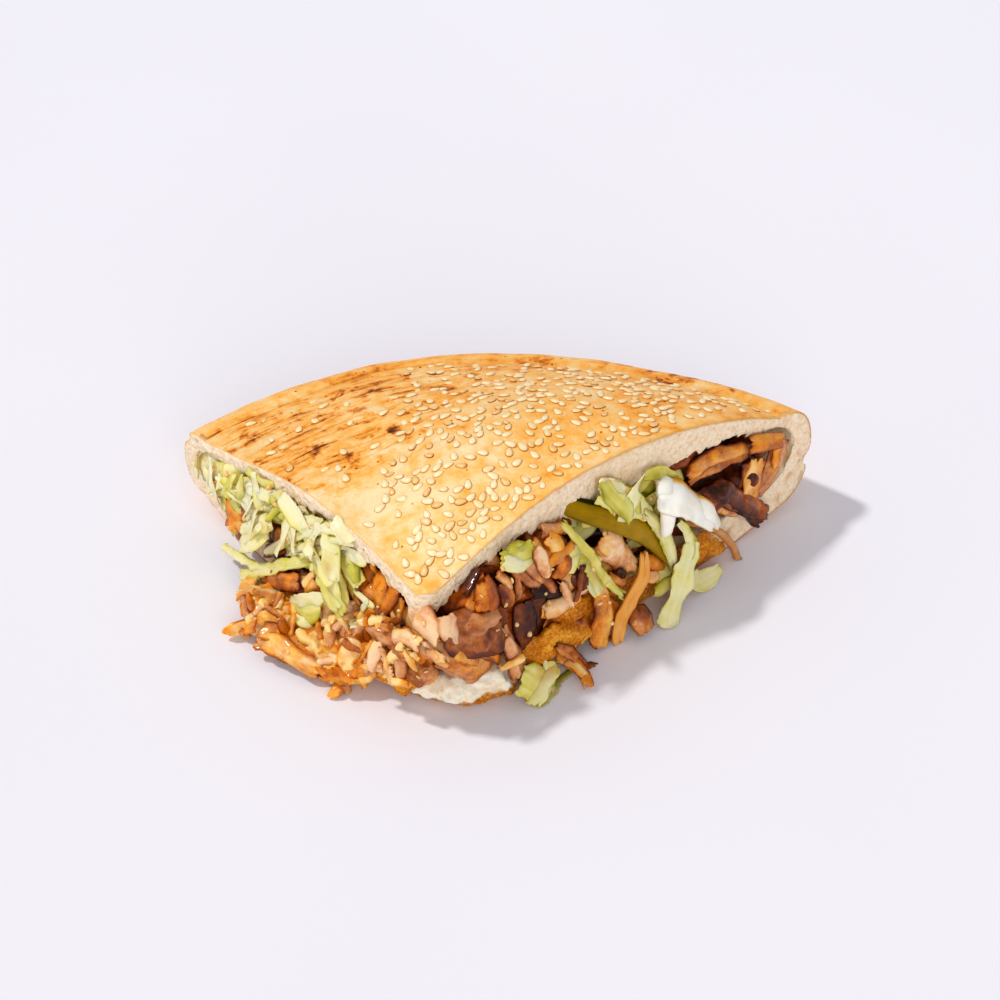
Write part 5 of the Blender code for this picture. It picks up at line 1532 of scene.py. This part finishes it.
def make_bits(core, slices, chunks, greens, bread, meat, cabbage):
    """Shreds and crumbs of meat and cabbage over the heap, so that no core shows bare."""
    tree = surface_of([core, slices, chunks, *greens])
    pick = random.Random(BITS_DRAWS)
    blocked = kept_clear(surface_of([bread, *greens]), surface_of([slices]), pick)
    make_shreds(tree, blocked, pick, meat)
    make_morsels(tree, blocked, pick, meat)
    make_crumbs(tree, pick, meat)
    make_scraps(tree, blocked, bread, pick, cabbage)


def make_cabbage(material):
    """Each node's placed shreds, the leaves seen on them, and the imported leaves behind."""
    heaps = []
    leafy = dict(step=0.6, ragged=0.3, fray=0.25, relief=0.35, fibres=0.03, edge_tone=0.22)
    for node, rows in CABBAGE.items():
        heap = Heap()
        heaps.append(heap)
        for number, (side, bends, width, thick, cup, tone) in enumerate(rows):
            places = [cut_point(side, place) for place in bends]
            sheet(heap, places, width, thick * 0.35, facing_of(side), number + 60 + len(node), cup=cup * 0.6,
                  tone=tone, twist=0.3, taper=0.35, ruffle=0.9, lean_tone=0.2 * math.sin(number * 2), **leafy)
        for number, (owner, side, bends, width, tone) in enumerate(SEEN_LEAVES):
            if owner == node:
                places = [seen(side, place) for place in bends]
                sheet(heap, places, width * 0.88, 0.4, facing_of(side), number + 160, cup=0.06 * width,
                      tone=tone, twist=0.4, taper=0.72, ruffle=1.0, curl=0.3 * math.sin(number * 3),
                      lean_tone=0.25 * math.sin(number * 2 + 1), **leafy)
        for number, (side, place, size) in enumerate(CABBAGE_CORES.get(node, ())):
            packed_leaves(heap, side, place, size, number)
        heap.make("shreds_" + node, material, node)
    return heaps


def packed_leaves(heap, side, place, size, number):
    """Crossing shreds that fill the middle of a heap of cabbage."""
    pick = random.Random(number * 7 + len(side))
    along, up, out = place
    for count in range(int(size[0] * 0.7)):
        here = along + pick.uniform(-0.5, 0.5) * size[0]
        level = up + pick.uniform(-0.5, 0.5) * size[2]
        depth = out + pick.uniform(-0.8, 0.35) * size[1]
        run = pick.uniform(5, 10)
        lean = pick.uniform(-1.0, 1.0)
        ahead, rise = math.cos(lean) * run, math.sin(lean) * run * 0.6
        bends = [
            cut_point(side, (here - ahead, level - rise, depth)),
            cut_point(side, (here, level + pick.uniform(-1.5, 2.0), depth + pick.uniform(0.0, 3.0))),
            cut_point(side, (here + ahead, level + rise, depth)),
        ]
        sheet(heap, bends, pick.uniform(3.0, 7.0), 0.5, facing_of(side, 0.5), count + number * 50 + 400,
              tone=pick.uniform(0.05, 0.65), **PACKED)


def make_soaked_bread():
    """The bread soaked with oil that shows between the meat."""
    heap = Heap()
    for number, (side, bends, width, thick) in enumerate(SOAKED_BREAD):
        places = [seen(side, place) for place in bends]
        sheet(heap, places, width, thick, facing_of(side, 0.4), number + 520, cup=0.2, step=0.5, ragged=0.3,
              relief=1.1, fibres=0.0, taper=0.3, twist=0.2, fray=0.6)
    heap.make("soaked_bread", soaked_paint(), "meat")


def make_single(name, node, row, material, tone, **options):
    side, bends, width, thick, cup = row
    places = [cut_point(side, place) for place in bends]
    heap = Heap()
    sheet(heap, places, width, thick, facing_of(side), len(name), cup=cup, tone=tone, **options)
    heap.make(name, material, node)


def make_sauce():
    heap = Heap()
    for number, (bends, width, tone, yellow) in enumerate(SAUCE_TONGUES):
        places = [seen("right", place) for place in bends]
        sheet(heap, places, width, 2.4, facing_of("right", 1.6), number + 7, cup=1.0, tone=tone, step=0.5,
              ragged=0.22, relief=0.5, fibres=0.0, edge_tone=0.06, twist=0.2, skin=yellow, ruffle=0.4)
    heap.make("white_sauce", plain_paint("sauce", SAUCE_STOPS, 0.22, 9), "sauce")


def make_stage():
    bpy.ops.mesh.primitive_plane_add(size=FLOOR_SIZE, location=(0, 0, 0))
    floor = bpy.context.object
    floor.name = "floor"
    floor.data.materials.append(floor_paint())


def make_lights():
    world = bpy.data.worlds.new("studio")
    bpy.context.scene.world = world
    world.use_nodes = True
    back = world.node_tree.nodes["Background"]
    back.inputs["Color"].default_value = WORLD_COLOUR
    back.inputs["Strength"].default_value = WORLD_STRENGTH
    for name, (strength, spread, colour, toward) in LIGHTS.items():
        light = bpy.data.lights.new(name, "SUN")
        light.energy = strength
        light.angle = math.radians(spread)
        light.color = colour
        lamp = bpy.data.objects.new(name, light)
        lamp.rotation_mode = "QUATERNION"
        lamp.rotation_quaternion = Vector(toward).to_track_quat("Z", "Y")
        bpy.context.scene.collection.objects.link(lamp)


def make_camera():
    data = bpy.data.cameras.new("camera")
    data.lens = CAMERA_LENS
    data.sensor_width = CAMERA_SENSOR
    camera = bpy.data.objects.new("camera", data)
    camera.location = EYE * MM
    camera.rotation_euler = (math.pi / 2 - CAMERA_ELEVATION, 0, 0)
    bpy.context.scene.collection.objects.link(camera)
    bpy.context.scene.camera = camera


def build():
    bpy.context.scene.view_settings.view_transform = "Standard"
    bpy.context.scene.view_settings.look = "Medium High Contrast"
    bread = make_bread(crust_paint())
    make_crumb(crumb_paint())
    make_seeds(seed_paint())
    meat = meat_paint()
    cabbage = cabbage_paint()
    core = make_core(meat)
    slices, chunks = make_meat(meat)
    greens = make_cabbage(cabbage)
    make_bits(core, slices, chunks, greens, bread, meat, cabbage)
    pickle = plain_paint("pickle", PICKLE_STOPS, 0.2, 5, coat=0.0, specular=0.14)
    make_single("pickle_slice", "pickle", PICKLE, pickle, 0.15, ragged=0.03, fibres=0.02, relief=0.1,
                skin=0.95, step=0.6, twist=0.1, taper=0.7)
    make_sauce()
    make_soaked_bread()
    onion = plain_paint("onion", ONION_STOPS, 0.25, 4)
    make_single("onion_ring_strand", "onion_strand", ONION_STRAND, onion, 0.3, ragged=0.1, step=0.5)
    orange = plain_paint("orange", ORANGE_STOPS, 0.25, 5)
    make_single("orange_meat_strip", "orange_strip", ORANGE_STRIP, orange, 0.3, ragged=0.32, relief=0.6,
                step=0.5, curl=0.3)
    make_stage()
    make_lights()
    make_camera()


build()
